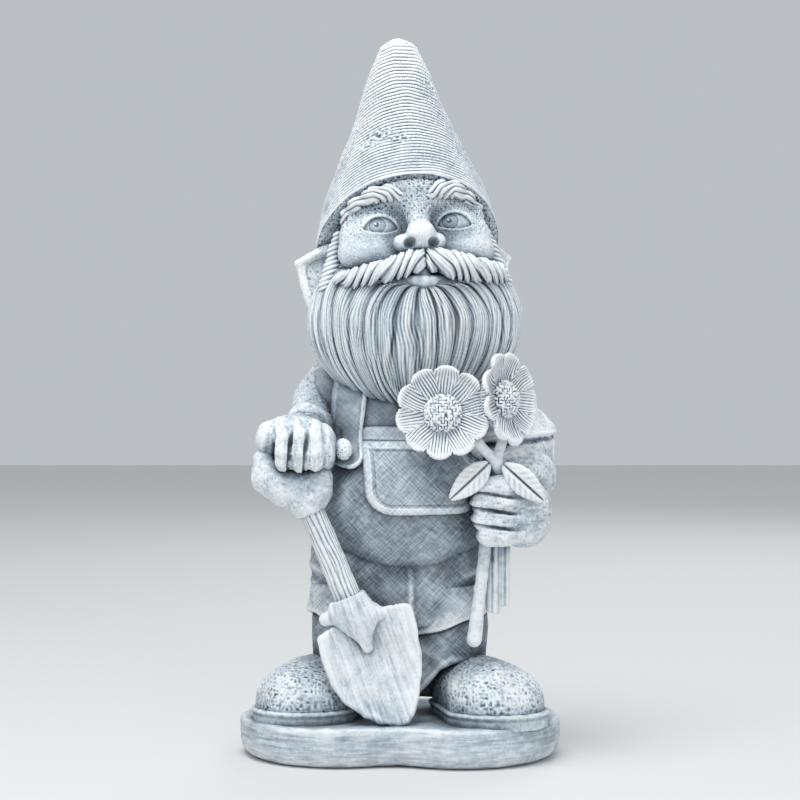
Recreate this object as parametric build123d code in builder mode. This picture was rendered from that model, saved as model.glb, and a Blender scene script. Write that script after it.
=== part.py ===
from build123d import *
import os

# A cast-stone garden gnome with a spade and a bunch of flowers, in millimetres.
# The figure stands on its plinth and faces -Y, +Z is up, and the origin is the middle of the
# plinth's underside. "left" and "right" are the gnome's own, so its right side lies towards -X.
# Each carved element is a solid of its own that meets its neighbours face to face.


# ---- driving dimensions -------------------------------------------------------------------
PLINTH_WIDTH = 244.0
PLINTH_DEPTH = 184.0
PLINTH_HEIGHT = 30.0
SOLE_HEIGHT = 9.0
BOOT_SPLAY = 24.0  # degrees each boot turns outwards
TORSO_YAW = 10.0  # degrees the chest turns towards the gnome's left
HEAD_YAW = 8.0
HEAD_PITCH = 12.0  # degrees the face looks up
HEAD_ROLL = 1.5
HEAD_CENTRE = (7.0, 1.0, 387.0)
BELLY_RADII = (67.0, 60.0, 60.0)
BELLY_CENTRE = (2.0, -8.0, 193.0)
CHEST_RADII = (60.0, 44.0, 60.0)
CHEST_CENTRE = (0.0, 8.0, 260.0)
SKULL_RADII = (53.0, 52.0, 62.0)
BEARD_RADII = (82.0, 50.0, 64.0)
CLOTH = 3.0  # thickness of a bib, strap or pocket
BUTTON_RADIUS = 8.5
SHAFT_RADIUS = 8.5
BLADE_THICKNESS = 6.0
PETAL_COUNT = 10

SOLE_TOP = PLINTH_HEIGHT + SOLE_HEIGHT
SIDES = (("right", -1), ("left", 1))


# ---- shared helpers ------------------------------------------------------------------------
def turned(yaw, pitch=0.0, roll=0.0, at=(0, 0, 0)):
    """A location at a point, facing -Y, then turned by yaw, tipped back by pitch and leant by roll."""
    yawed = Location(at) * Location((0, 0, 0), (0, 0, yaw))
    return yawed * Location((0, 0, 0), (-pitch, 0, 0)) * Location((0, 0, 0), (0, -roll, 0))


TORSO = turned(TORSO_YAW)
HEAD = turned(HEAD_YAW, HEAD_PITCH, HEAD_ROLL, HEAD_CENTRE)


def spot(frame, point):
    """A point of a turned frame, in the part's own frame."""
    return (frame * Location(point)).position


def ellipsoid(centre, radii, turn=(0, 0, 0), frame=None):
    """A ball scaled to three half-axes, which no builder object makes."""
    ball = scale(Sphere(1, mode=Mode.PRIVATE), by=radii, mode=Mode.PRIVATE)
    place = Location(centre, turn)
    return (frame * place if frame else place) * ball


def limb(points, sizes):
    """Round cones joined by balls along a run of points, with a radius at each."""
    with BuildPart() as made:
        for start, end, wide, narrow in zip(points, points[1:], sizes, sizes[1:]):
            base = Plane(origin=start, z_dir=Vector(end) - Vector(start))
            reach = (Vector(end) - Vector(start)).length
            with BuildSketch(base):
                Circle(wide)
            with BuildSketch(base.offset(reach)):
                Circle(narrow)
            loft()
        for point, size in zip(points, sizes):
            with Locations(point):
                Sphere(size)
    return made.part


def ellipse_stack(sections):
    """One ellipse sketch per (height, x, y, half width, half depth)."""
    stack = []
    for height, x, y, half_width, half_depth in sections:
        with BuildSketch(Plane.XY.offset(height)) as ring:
            with Locations((x, y)):
                Ellipse(half_width, half_depth)
        stack.append(ring.sketch)
    return stack


def block(low, high):
    """A box between two corners, for trimming."""
    size = [b - a for a, b in zip(low, high)]
    middle = [(a + b) / 2 for a, b in zip(low, high)]
    return Location(middle) * Box(*size, mode=Mode.PRIVATE)


def write(builder, name):
    """Labels a finished piece and writes its STEP file."""
    builder.part.label = name
    export_step(builder.part, f"parts/{name}.step")
    return builder.part


os.makedirs("parts", exist_ok=True)

# ---- plinth --------------------------------------------------------------------------------
LOBE_OFFSET = 46.0
LOBE_FORWARD = 3.0  # the left lobe lies this far in front of the right one
with BuildPart() as plinth:
    with BuildSketch() as outline:
        for _, side in SIDES:
            with Locations((side * LOBE_OFFSET, -side * LOBE_FORWARD)):
                Ellipse(PLINTH_WIDTH / 2 - LOBE_OFFSET, PLINTH_DEPTH / 2 - LOBE_FORWARD)
        fillet(outline.vertices(), radius=60)
    extrude(amount=PLINTH_HEIGHT)
    fillet(plinth.edges().group_by(Axis.Z)[0], radius=9)
    fillet(plinth.edges().group_by(Axis.Z)[-1], radius=3)
plinth_part = write(plinth, "plinth")

# ---- boots ---------------------------------------------------------------------------------
TOE_RADIUS = 39.0
HEEL_RADIUS = 26.0
TOE_REACH = 26.0
HEEL_REACH = 27.0
WELT = 2.0  # how far the sole stands out past the upper
BOOT_PLACES = {"right": (-56.0, 2.0), "left": (56.0, -13.0)}
boots, soles = {}, {}
for name, side in SIDES:
    place = Location((*BOOT_PLACES[name], 0), (0, 0, side * BOOT_SPLAY))
    ground = Plane(place * Location((0, 0, PLINTH_HEIGHT)))
    with BuildPart() as sole:
        with BuildSketch(ground):
            with Locations((0, -TOE_REACH)):
                Circle(TOE_RADIUS)
            with Locations((0, HEEL_REACH)):
                Circle(HEEL_RADIUS)
            make_hull()
        extrude(amount=SOLE_HEIGHT)
        fillet(sole.edges().group_by(Axis.Z)[-1], radius=2)
    soles[name] = write(sole, f"{name}_boot_sole")

    toe_cap = ellipsoid((0, -TOE_REACH + 1, SOLE_TOP + 4), (TOE_RADIUS - WELT, 38, 37), frame=place)
    instep = ellipsoid((0, 6, SOLE_TOP + 6), (HEEL_RADIUS + 4, 44, 34), frame=place)
    under = block((-150, -150, 0), (150, 150, SOLE_TOP))
    with BuildPart() as upper:
        add(toe_cap)
        add(instep)
        with BuildSketch(Plane(place * Location((0, 0, SOLE_TOP)))):
            with Locations((0, HEEL_REACH)):
                Circle(HEEL_RADIUS - WELT)
        extrude(amount=30)
        add(under, mode=Mode.SUBTRACT)
    boots[name] = write(upper, f"{name}_boot_upper")

# ---- torso: belly, trousers, shirt -----------------------------------------------------------
belly_form = ellipsoid(BELLY_CENTRE, BELLY_RADII, frame=TORSO)
with BuildPart() as belly:
    add(belly_form)
belly_part = write(belly, "overalls_belly")

with BuildPart() as seat:
    loft(ellipse_stack([
        (112, 0, 6, 62, 46),
        (130, 0, 7, 66, 51),
        (155, 0, 8, 67, 53),
        (190, 0, 9, 64, 51),
        (215, 0, 9, 61, 47),
    ]))
    add(belly_part, mode=Mode.SUBTRACT)
seat_part = write(seat, "trouser_seat")

HEM_HEIGHT = 46.0
legs = {}
for name, side in SIDES:
    middle = block((0 if side > 0 else -200, -200, 0), (200 if side > 0 else 0, 200, 400))
    with BuildPart() as leg:
        loft(ellipse_stack([
            (HEM_HEIGHT, side * 37, 8, 33, 37),
            (72, side * 34, 6, 32, 35),
            (92, side * 33, 5, 34, 38),
            (122, side * 32, 5, 34, 43),
        ]))
        add(middle, mode=Mode.INTERSECT)
        for other in (seat_part, belly_part, boots[name]):
            add(other, mode=Mode.SUBTRACT)
    legs[name] = write(leg, f"{name}_trouser_leg")

NECK_RADIUS = 33.0
NECK_FOOT = 296.0
NECK_TOP = 348.0
with BuildPart() as neck:
    with Locations((2, 8, (NECK_FOOT + NECK_TOP) / 2)):
        Cylinder(NECK_RADIUS, NECK_TOP - NECK_FOOT)
with BuildPart() as shirt:
    add(ellipsoid(CHEST_CENTRE, CHEST_RADII, frame=TORSO))
    for other in (belly_part, seat_part, neck.part):
        add(other, mode=Mode.SUBTRACT)
shirt_part = write(shirt, "shirt_body")

# ---- bib, pocket, straps and buttons ----------------------------------------------------------
BIB_TOP = 246.0
BIB_HALF_WIDTH = 46.0
POCKET_TOP = 235.0
POCKET_BOTTOM = 184.0
POCKET_HALF_WIDTH = 43.0
POCKET_SIDE = 5.0  # how far the pocket's middle lies to the gnome's left of the bib's
FRONT = Plane(TORSO * Plane.XZ.location)  # its x runs to the gnome's left and its y runs up


def grown(form_centre, form_radii, by):
    """A torso ellipsoid with a layer of cloth on it."""
    return ellipsoid(form_centre, tuple(r + by for r in form_radii), frame=TORSO)


with BuildPart() as bib:
    add(grown(BELLY_CENTRE, BELLY_RADII, CLOTH))
    add(grown(CHEST_CENTRE, CHEST_RADII, CLOTH))
    with BuildSketch(FRONT):
        with Locations((0, (BIB_TOP + 215) / 2)):
            RectangleRounded(2 * BIB_HALF_WIDTH, BIB_TOP - 215, 6)
    extrude(amount=120, mode=Mode.INTERSECT)
    add(belly_part, mode=Mode.SUBTRACT)
    add(shirt_part, mode=Mode.SUBTRACT)
bib_part = write(bib, "bib")

with BuildPart() as pocket:
    add(grown(BELLY_CENTRE, BELLY_RADII, CLOTH + 3))
    with BuildSketch(FRONT) as patch:
        with Locations((POCKET_SIDE, (POCKET_TOP + POCKET_BOTTOM) / 2)):
            Rectangle(2 * POCKET_HALF_WIDTH, POCKET_TOP - POCKET_BOTTOM)
        fillet(patch.vertices().group_by(Axis.Z)[0], radius=16)
    extrude(amount=120, mode=Mode.INTERSECT)
    add(bib_part, mode=Mode.SUBTRACT)
    add(belly_part, mode=Mode.SUBTRACT)
    add(shirt_part, mode=Mode.SUBTRACT)
pocket_part = write(pocket, "bib_pocket")

STRAP_MIDDLE = 45.0
STRAP_WIDTH = 22.0
STRAP_END = 213.0  # height of the rounded front end
straps = {}
for name, side in SIDES:
    with BuildPart() as strap:
        add(grown(CHEST_CENTRE, CHEST_RADII, 2 * CLOTH + 1))
        add(grown(BELLY_CENTRE, BELLY_RADII, 2 * CLOTH + 1))
        with BuildSketch(FRONT.offset(-80)):
            with Locations((side * STRAP_MIDDLE, 280)):
                SlotOverall(2 * (280 - STRAP_END), STRAP_WIDTH, rotation=90)
        extrude(amount=200, mode=Mode.INTERSECT)
        for other in (shirt_part, belly_part, bib_part, pocket_part, seat_part, neck.part):
            add(other, mode=Mode.SUBTRACT)
    # The band over the shoulder is the largest of what the trimming leaves.
    with BuildPart() as band:
        add(strap.solids().sort_by(SortBy.VOLUME)[-1])
    straps[name] = write(band, f"{name}_strap")

with BuildPart() as button_pair:
    for _, side in SIDES:
        rim = spot(TORSO, (side * (STRAP_MIDDLE + 1), -58, 233))
        with Locations(Location(rim, (90, 0, TORSO_YAW + side * 26))):
            Cylinder(BUTTON_RADIUS, 40)
    add(grown(BELLY_CENTRE, BELLY_RADII, 4 * CLOTH), mode=Mode.INTERSECT)
    for other in (*straps.values(), belly_part, shirt_part, bib_part):
        add(other, mode=Mode.SUBTRACT)
with BuildPart() as strap_buttons:
    for solid in button_pair.solids().sort_by(SortBy.VOLUME)[-2:]:
        add(solid)
buttons_part = write(strap_buttons, "strap_buttons")

BACK_TOP = 266.0
BACK_BOTTOM = 196.0
with BuildPart() as back_panel:
    add(grown(BELLY_CENTRE, BELLY_RADII, CLOTH))
    add(grown(CHEST_CENTRE, CHEST_RADII, CLOTH))
    with BuildSketch(FRONT):
        with BuildLine():
            Polyline((-44, BACK_BOTTOM), (44, BACK_BOTTOM), (34, BACK_TOP), (-34, BACK_TOP), close=True)
        make_face()
    extrude(amount=-120, mode=Mode.INTERSECT)
    for other in (belly_part, shirt_part, seat_part, *straps.values()):
        add(other, mode=Mode.SUBTRACT)
with BuildPart() as overalls_back:
    add(back_panel.solids().sort_by(SortBy.VOLUME)[-1])
write(overalls_back, "overalls_back")

REAR_POCKET = (34, 16, 38)
with BuildPart() as patches:
    for _, side in SIDES:
        with Locations(Location((side * 29, 50, 152), (0, 0, -side * 14))):
            Box(*REAR_POCKET)
    fillet(patches.edges().filter_by(Axis.Z), radius=4)
    add(seat_part, mode=Mode.SUBTRACT)
with BuildPart() as rear_pockets:
    for solid in patches.solids().sort_by(SortBy.VOLUME)[-2:]:
        add(solid)
write(rear_pockets, "rear_pockets")

# ---- head, hat and face ------------------------------------------------------------------------
HAT_APEX = 165.0  # above the head's centre
BRIM_SLOPE = 32.0  # degrees the hat's edge drops towards the back
BRIM_LIP = 7.0
head_origin = spot(HEAD, (0, 0, 0))
head_up = spot(HEAD, (0, 0, 1)) - head_origin
brim_plane = HEAD * Location((0, 0, 5)) * Location((0, 0, 0), (-BRIM_SLOPE, 0, 0))
below_brim = brim_plane * Location((0, 0, -150)) * Box(400, 400, 300, mode=Mode.PRIVATE)
above_lip = brim_plane * Location((0, 0, 150 + BRIM_LIP)) * Box(400, 400, 300, mode=Mode.PRIVATE)

NOSE_MIDDLE = (0, -51, -1)
NOSE_RADII = (15, 16, 20)
NOSE_BACK = -43.0  # the plane behind the nose, where it sits in the face
with BuildPart() as nose:
    add(ellipsoid(NOSE_MIDDLE, NOSE_RADII, frame=HEAD))
    add(HEAD * block((-80, NOSE_BACK, -80), (80, 80, 80)), mode=Mode.SUBTRACT)
nose_part = write(nose, "nose")

CHEEK_RADIUS = 21.0
with BuildPart() as head:
    add(ellipsoid((0, 1, -6), SKULL_RADII, frame=HEAD))
    for _, side in SIDES:
        with Locations(spot(HEAD, (side * 28, -30, -18))):
            Sphere(CHEEK_RADIUS)
    add(neck.part)
    add(below_brim, mode=Mode.INTERSECT)
    for other in (nose_part, *straps.values()):
        add(other, mode=Mode.SUBTRACT)
head_part = write(head, "head")

HAT_RADII = ((165, 3), (157, 14), (136, 23), (94, 37), (53, 55), (23, 66), (0, 70), (-55, 71))
with BuildPart() as cone:
    with BuildSketch(Plane(HEAD * Plane.XZ.location)):
        with BuildLine():
            Spline(*[(wide, up) for up, wide in HAT_RADII])
            Polyline((71, -55), (0, -55), (0, HAT_APEX), (3, HAT_APEX))
        make_face()
    revolve(axis=Axis(head_origin, head_up))
    add(below_brim, mode=Mode.SUBTRACT)
with BuildPart() as hat:
    add(cone.part)
    add(above_lip, mode=Mode.INTERSECT)
write(hat, "hat")
with BuildPart() as hat_brim:
    add(cone.part)
    add(above_lip, mode=Mode.SUBTRACT)
write(hat_brim, "hat_brim")

EYE_OFFSET = 28.0
eyes, brows, whiskers, ears, sideburns = {}, {}, {}, {}, {}
for name, side in SIDES:
    with BuildPart() as eye:
        add(ellipsoid((side * EYE_OFFSET, -43, 4), (13, 9, 9), frame=HEAD))
        add(head_part, mode=Mode.SUBTRACT)
        add(nose_part, mode=Mode.SUBTRACT)
    eyes[name] = write(eye, f"{name}_eye")

    with BuildPart() as brow:
        add(limb(
            [spot(HEAD, p) for p in ((side * 11, -51, 21), (side * 30, -46, 24), (side * 47, -31, 14))],
            (5, 6, 4),
        ))
        add(below_brim, mode=Mode.INTERSECT)
        for other in (head_part, nose_part, eyes[name]):
            add(other, mode=Mode.SUBTRACT)
    brows[name] = write(brow, f"{name}_eyebrow")

    middle_of_head = Location((side * 100, 0, 0))
    half = HEAD * middle_of_head * Box(200, 300, 400, mode=Mode.PRIVATE)
    with BuildPart() as whisker:
        add(limb(
            [spot(HEAD, p) for p in ((side * 4, -60, -26), (side * 32, -55, -28), (side * 58, -38, -34))],
            (8, 9, 7),
        ))
        add(half, mode=Mode.INTERSECT)
        for other in (head_part, nose_part):
            add(other, mode=Mode.SUBTRACT)
    with BuildPart() as moustache:
        add(whisker.solids().sort_by(SortBy.VOLUME)[-1])
    whiskers[name] = write(moustache, f"{name}_moustache")

    with BuildPart() as ear:
        add(ellipsoid((side * 66, 8, -22), (21, 8, 26), (0, side * 28, side * 20), frame=HEAD))
        add(ellipsoid((side * 70, -2, -20), (11, 6, 17), (0, side * 28, side * 20), frame=HEAD),
            mode=Mode.SUBTRACT)
        add(below_brim, mode=Mode.INTERSECT)
        add(head_part, mode=Mode.SUBTRACT)
    with BuildPart() as outer_ear:
        add(ear.solids().sort_by(SortBy.VOLUME)[-1])
    ears[name] = write(outer_ear, f"{name}_ear")

    with BuildPart() as lock:
        add(limb([spot(HEAD, p) for p in ((side * 55, -16, 2), (side * 59, -20, -26))], (7, 8)))
        add(below_brim, mode=Mode.INTERSECT)
        for other in (head_part, ears[name], whiskers[name]):
            add(other, mode=Mode.SUBTRACT)
    with BuildPart() as sideburn:
        add(lock.solids().sort_by(SortBy.VOLUME)[-1])
    sideburns[name] = write(sideburn, f"{name}_sideburn")

with BuildPart() as lip:
    add(limb([spot(HEAD, (-8, -56, -40)), spot(HEAD, (8, -56, -40))], (5, 5)))
    for other in (head_part, *whiskers.values()):
        add(other, mode=Mode.SUBTRACT)
with BuildPart() as lower_lip:
    add(lip.solids().sort_by(SortBy.VOLUME)[-1])
lip_part = write(lower_lip, "lower_lip")

# ---- beard and back hair -------------------------------------------------------------------------
BEARD_CENTRE = (11.0, -20.0, 328.0)
BEARD_FRAME = turned(HEAD_YAW, at=BEARD_CENTRE)
face_parts = (*whiskers.values(), *ears.values(), *sideburns.values(), nose_part, lip_part)
with BuildPart() as beard_form:
    add(ellipsoid((0, 0, 0), BEARD_RADII, frame=BEARD_FRAME))
    behind = BEARD_FRAME * block((-200, 14, -200), (200, 300, 200))
    add(behind, mode=Mode.SUBTRACT)
    with BuildSketch(Plane(HEAD * Plane.XZ.location)):
        with Locations((0, 14)):
            Ellipse(52, 51)
    extrude(amount=200, mode=Mode.SUBTRACT)
    add(below_brim, mode=Mode.INTERSECT)
    for other in (head_part, *face_parts, shirt_part, belly_part, bib_part, pocket_part):
        add(other, mode=Mode.SUBTRACT)
    for strap_part in straps.values():
        add(strap_part, mode=Mode.SUBTRACT)
with BuildPart() as beard:
    add(beard_form.solids().sort_by(SortBy.VOLUME)[-1])
beard_part = write(beard, "beard")

with BuildPart() as hair:
    add(ellipsoid((0, 14, -26), (59, 50, 60), frame=HEAD))
    add(HEAD * block((-200, 18, -200), (200, 200, 200)), mode=Mode.INTERSECT)
    add(below_brim, mode=Mode.INTERSECT)
    for other in (head_part, shirt_part, *straps.values()):
        add(other, mode=Mode.SUBTRACT)
with BuildPart() as back_hair:
    add(hair.solids().sort_by(SortBy.VOLUME)[-1])
write(back_hair, "back_hair")

# ---- arms ------------------------------------------------------------------------------------------
ARM_POINTS = {
    "right": ((-50, 12, 286), (-72, 16, 260), (-70, -22, 252)),
    "left": ((50, 8, 280), (92, 12, 232), (94, -26, 212)),
}
ARM_SIZES = {"right": (22, 23, 20), "left": (24, 27, 24)}
CUFF_LENGTH = 12.0
CUFF_STEP = 3.0  # how far the rolled cuff stands out past the sleeve
sleeves, cuffs = {}, {}
for name, side in SIDES:
    points = ARM_POINTS[name]
    sizes = ARM_SIZES[name]
    wrist = Vector(points[2])
    along = (wrist - Vector(points[1])).normalized()
    cuff_plane = Plane(origin=wrist - along * (CUFF_LENGTH / 2), z_dir=along)
    beyond = cuff_plane.location * Location((0, 0, 100)) * Box(120, 120, 200, mode=Mode.PRIVATE)
    with BuildPart() as arm:
        add(limb(points, sizes))
        add(beyond, mode=Mode.SUBTRACT)
        for other in (shirt_part, straps[name], belly_part, seat_part, beard_part, head_part):
            add(other, mode=Mode.SUBTRACT)
    with BuildPart() as sleeve:
        add(arm.solids().sort_by(SortBy.VOLUME)[-1])
    sleeves[name] = write(sleeve, f"{name}_sleeve")
    with BuildPart() as roll:
        with BuildSketch(cuff_plane):
            Circle(sizes[2] + CUFF_STEP)
        extrude(amount=CUFF_LENGTH)
        fillet(roll.edges().filter_by(GeomType.CIRCLE), radius=3)
        for other in (shirt_part, straps[name], belly_part, bib_part, pocket_part, buttons_part):
            add(other, mode=Mode.SUBTRACT)
    with BuildPart() as cuff:
        add(roll.solids().sort_by(SortBy.VOLUME)[-1])
    cuffs[name] = write(cuff, f"{name}_cuff")

# ---- spade -----------------------------------------------------------------------------------------
SHAFT_TOP = (-66, -56, 190)
SHAFT_BOTTOM = (-37, -58, 121)
SOCKET_END = (-25, -60, 90)
BLADE_TOP = Vector(-28, -56, 112)
BLADE_TIP = Vector(2, -62, PLINTH_HEIGHT + 1)
BLADE_HALF_WIDTH = 37.0
torso_parts = (belly_part, seat_part, *legs.values())
with BuildPart() as shaft:
    add(limb((SHAFT_TOP, SHAFT_BOTTOM), (SHAFT_RADIUS, SHAFT_RADIUS + 1)))
    for other in torso_parts:
        add(other, mode=Mode.SUBTRACT)
shaft_part = write(shaft, "shovel_shaft")

with BuildPart() as socket:
    add(limb((SHAFT_BOTTOM, (-31, -59, 106), SOCKET_END), (SHAFT_RADIUS + 3, SHAFT_RADIUS, 4)))
    for other in (shaft_part, *torso_parts):
        add(other, mode=Mode.SUBTRACT)
socket_part = write(socket, "shovel_socket")

blade_up = (BLADE_TOP - BLADE_TIP).normalized()
blade_length = (BLADE_TOP - BLADE_TIP).length
blade_across = Vector(blade_up.Z, 0, -blade_up.X).normalized()
blade_plane = Plane(origin=BLADE_TIP, x_dir=blade_across, z_dir=blade_across.cross(blade_up))
with BuildPart() as pan:
    with BuildSketch(blade_plane):
        with BuildLine():
            Spline(
                (0, 0), (20, 12), (33, 40), (BLADE_HALF_WIDTH, blade_length - 8),
                tangents=((1, 0), (0, 1)),
            )
            Line((BLADE_HALF_WIDTH, blade_length - 8), (BLADE_HALF_WIDTH - 6, blade_length))
            Line((BLADE_HALF_WIDTH - 6, blade_length), (6 - BLADE_HALF_WIDTH, blade_length))
            Line((6 - BLADE_HALF_WIDTH, blade_length), (-BLADE_HALF_WIDTH, blade_length - 8))
            Spline(
                (-BLADE_HALF_WIDTH, blade_length - 8), (-37, 40), (-24, 12), (0, 0),
                tangents=((0, -1), (1, 0)),
            )
        make_face()
    extrude(amount=2 * BLADE_THICKNESS)
    dish = ellipsoid((0, 46, 2 * BLADE_THICKNESS), (33, 47, BLADE_THICKNESS), frame=blade_plane.location)
    add(dish, mode=Mode.SUBTRACT)
    for other in (shaft_part, socket_part, plinth_part, *boots.values(), *soles.values(), *legs.values()):
        add(other, mode=Mode.SUBTRACT)
with BuildPart() as blade:
    add(pan.solids().sort_by(SortBy.VOLUME)[-1])
write(blade, "shovel_blade")

with BuildPart() as yoke:
    add(limb(((-104, -58, 224), (-88, -58, 207), SHAFT_TOP), (8, 14, SHAFT_RADIUS + 2)))
    add(limb(((-60, -56, 213), SHAFT_TOP), (13, SHAFT_RADIUS + 2)))
    for other in (shaft_part, belly_part, *cuffs.values()):
        add(other, mode=Mode.SUBTRACT)
with BuildPart() as grip:
    add(yoke.solids().sort_by(SortBy.VOLUME)[-1])
grip_part = write(grip, "shovel_grip")

# ---- hands -----------------------------------------------------------------------------------------
with BuildPart() as fist:
    with Locations(Location((-76, -50, 241), (0, 0, 6))):
        Box(54, 42, 38)
    fillet(fist.edges(), radius=13)
    for step in range(4):
        with Locations((-96 + step * 13.5, -66, 234)):
            Cylinder(7, 20)
        with Locations((-96 + step * 13.5, -66, 244), (-96 + step * 13.5, -66, 224)):
            Sphere(7)
    for other in (grip_part, cuffs["right"], sleeves["right"], belly_part, straps["right"], buttons_part,
                  shirt_part):
        add(other, mode=Mode.SUBTRACT)
with BuildPart() as right_hand:
    add(fist.solids().sort_by(SortBy.VOLUME)[-1])
write(right_hand, "right_hand")

with BuildPart() as clasp:
    add(ellipsoid((84, -48, 191), (26, 22, 28)))
    for step in range(4):
        add(limb(((86, -64, 210 - step * 13), (62, -58, 209 - step * 13)), (8, 7)))
    for other in (cuffs["left"], sleeves["left"], belly_part, pocket_part, seat_part):
        add(other, mode=Mode.SUBTRACT)
with BuildPart() as left_hand:
    add(clasp.solids().sort_by(SortBy.VOLUME)[-1])
left_hand_part = write(left_hand, "left_hand")

# ---- flowers ---------------------------------------------------------------------------------------
PETAL_THICKNESS = 5.0
LARGE_FLOWER = turned(0, 12, 0, (32, -76, 260))
SMALL_FLOWER = turned(48, 12, 0, (78, -66, 271))
holders = (left_hand_part, cuffs["left"], sleeves["left"], belly_part, pocket_part)
blooms = {}
for name, frame, radius in (("large", LARGE_FLOWER, 33.0), ("small", SMALL_FLOWER, 30.0)):
    heart = 0.4 * radius
    with BuildPart() as petals:
        with BuildSketch(Plane(frame * Plane.XZ.location)):
            Circle(0.64 * radius)
            with PolarLocations(0.64 * radius, PETAL_COUNT):
                Ellipse(0.36 * radius, 0.24 * radius)
        extrude(amount=PETAL_THICKNESS)
    blooms[f"{name} petals"] = write(petals, f"{name}_flower_petals")
    with BuildPart() as dome:
        add(ellipsoid((0, -PETAL_THICKNESS, 0), (heart, 7, heart), frame=frame))
        add(petals.part, mode=Mode.SUBTRACT)
    with BuildPart() as middle:
        add(dome.solids().sort_by(Axis.Y)[0])
    blooms[f"{name} middle"] = write(middle, f"{name}_flower_centre")

# ---- leaves and stems ------------------------------------------------------------------------------
FORK = (71, -66, 226)
STEM_RADIUS = 4.0
bloom_holders = (*holders, *blooms.values())
with BuildPart() as stalks:
    add(limb(((78, -50, 205), FORK, (42, -68, 250)), (STEM_RADIUS,) * 3))
    add(limb((FORK, (80, -60, 262)), (STEM_RADIUS, STEM_RADIUS)))
    for other in bloom_holders:
        add(other, mode=Mode.SUBTRACT)
with BuildPart() as stems:
    add(stalks.solids().sort_by(SortBy.VOLUME)[-1])
stems_part = write(stems, "flower_stems")

with BuildPart() as leaves:
    for base, tip in (((67, -72, 226), (37, -74, 199)), ((75, -74, 225), (106, -72, 197))):
        middle_point = (Vector(base) + Vector(tip)) / 2
        lean = Vector(tip) - Vector(base)
        leaf_plane = Plane(origin=middle_point, x_dir=lean, z_dir=(0, -1, 0))
        add(leaf_plane.location * scale(Sphere(1, mode=Mode.PRIVATE), by=(21, 8, 4), mode=Mode.PRIVATE))
    for other in (*bloom_holders, stems_part):
        add(other, mode=Mode.SUBTRACT)
write(leaves, "leaves")

with BuildPart() as stem_tail:
    add(limb(((64, -48, 172), (55, -48, 92)), (4.5, 5)))
    for other in (left_hand_part, belly_part, seat_part, *legs.values()):
        add(other, mode=Mode.SUBTRACT)
with BuildPart() as stem_end:
    add(stem_tail.solids().sort_by(SortBy.VOLUME)[-1])
tail_part = write(stem_end, "stem_end")

with BuildPart() as ribbon_form:
    with Locations((71, -38, 142)):
        Box(11, 22, 64)
    fillet(ribbon_form.edges().filter_by(Axis.Z), radius=4)
    for other in (left_hand_part, belly_part, seat_part, tail_part, *legs.values(), sleeves["left"]):
        add(other, mode=Mode.SUBTRACT)
with BuildPart() as ribbon:
    add(ribbon_form.solids().sort_by(SortBy.VOLUME)[-1])
write(ribbon, "stem_bundle")
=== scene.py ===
import math
import bpy
import numpy as np
import openvdb
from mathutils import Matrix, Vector


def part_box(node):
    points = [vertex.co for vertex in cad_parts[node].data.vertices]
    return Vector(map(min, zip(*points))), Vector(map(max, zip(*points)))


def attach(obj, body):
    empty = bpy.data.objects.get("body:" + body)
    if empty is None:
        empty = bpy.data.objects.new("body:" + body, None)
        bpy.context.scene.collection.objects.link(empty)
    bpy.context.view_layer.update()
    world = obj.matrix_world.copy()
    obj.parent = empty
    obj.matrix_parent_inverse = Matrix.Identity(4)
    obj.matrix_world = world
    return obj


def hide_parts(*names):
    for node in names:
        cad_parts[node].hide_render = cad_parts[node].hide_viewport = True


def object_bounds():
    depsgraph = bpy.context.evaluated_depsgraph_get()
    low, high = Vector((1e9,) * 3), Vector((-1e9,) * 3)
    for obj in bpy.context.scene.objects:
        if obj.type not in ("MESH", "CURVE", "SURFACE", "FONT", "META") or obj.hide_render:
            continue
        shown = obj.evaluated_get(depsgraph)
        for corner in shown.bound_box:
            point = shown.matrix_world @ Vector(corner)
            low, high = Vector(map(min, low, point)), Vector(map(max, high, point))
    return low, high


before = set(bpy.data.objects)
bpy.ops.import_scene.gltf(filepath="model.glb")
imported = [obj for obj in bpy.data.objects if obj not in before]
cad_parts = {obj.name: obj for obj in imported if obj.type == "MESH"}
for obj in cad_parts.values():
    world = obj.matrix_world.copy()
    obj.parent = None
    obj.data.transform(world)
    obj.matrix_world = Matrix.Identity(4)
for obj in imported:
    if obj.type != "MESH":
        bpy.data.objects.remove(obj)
cad_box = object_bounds()

# Shapes are worked out in millimetres in the row frame: x to the gnome's left, -y to the front.
MM = 0.001
F32 = np.float32
COARSE = 2.0  # mm, pitch of the grid that the shading's hollows are measured on
FINE, MEDIUM, WIDE = 0.5, 0.6667, 1.0  # mm, pitches of the grids that the pieces are drawn on


# ---- places, from the CAD nodes' boxes
def mid(node):
    low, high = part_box(node)
    return np.array((low + high) / 2) / MM


def half(node):
    low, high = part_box(node)
    return np.array((high - low) / 2) / MM


def turn(yaw, pitch=0.0, roll=0.0):
    """Matrix of a frame that faces -Y, turned by yaw, tipped back by pitch and leant by roll."""
    a, b, c = math.radians(yaw), math.radians(-pitch), math.radians(-roll)
    rz = np.array([[math.cos(a), -math.sin(a), 0], [math.sin(a), math.cos(a), 0], [0, 0, 1]])
    rx = np.array([[1, 0, 0], [0, math.cos(b), -math.sin(b)], [0, math.sin(b), math.cos(b)]])
    ry = np.array([[math.cos(c), 0, math.sin(c)], [0, 1, 0], [-math.sin(c), 0, math.cos(c)]])
    return rz @ rx @ ry


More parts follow.
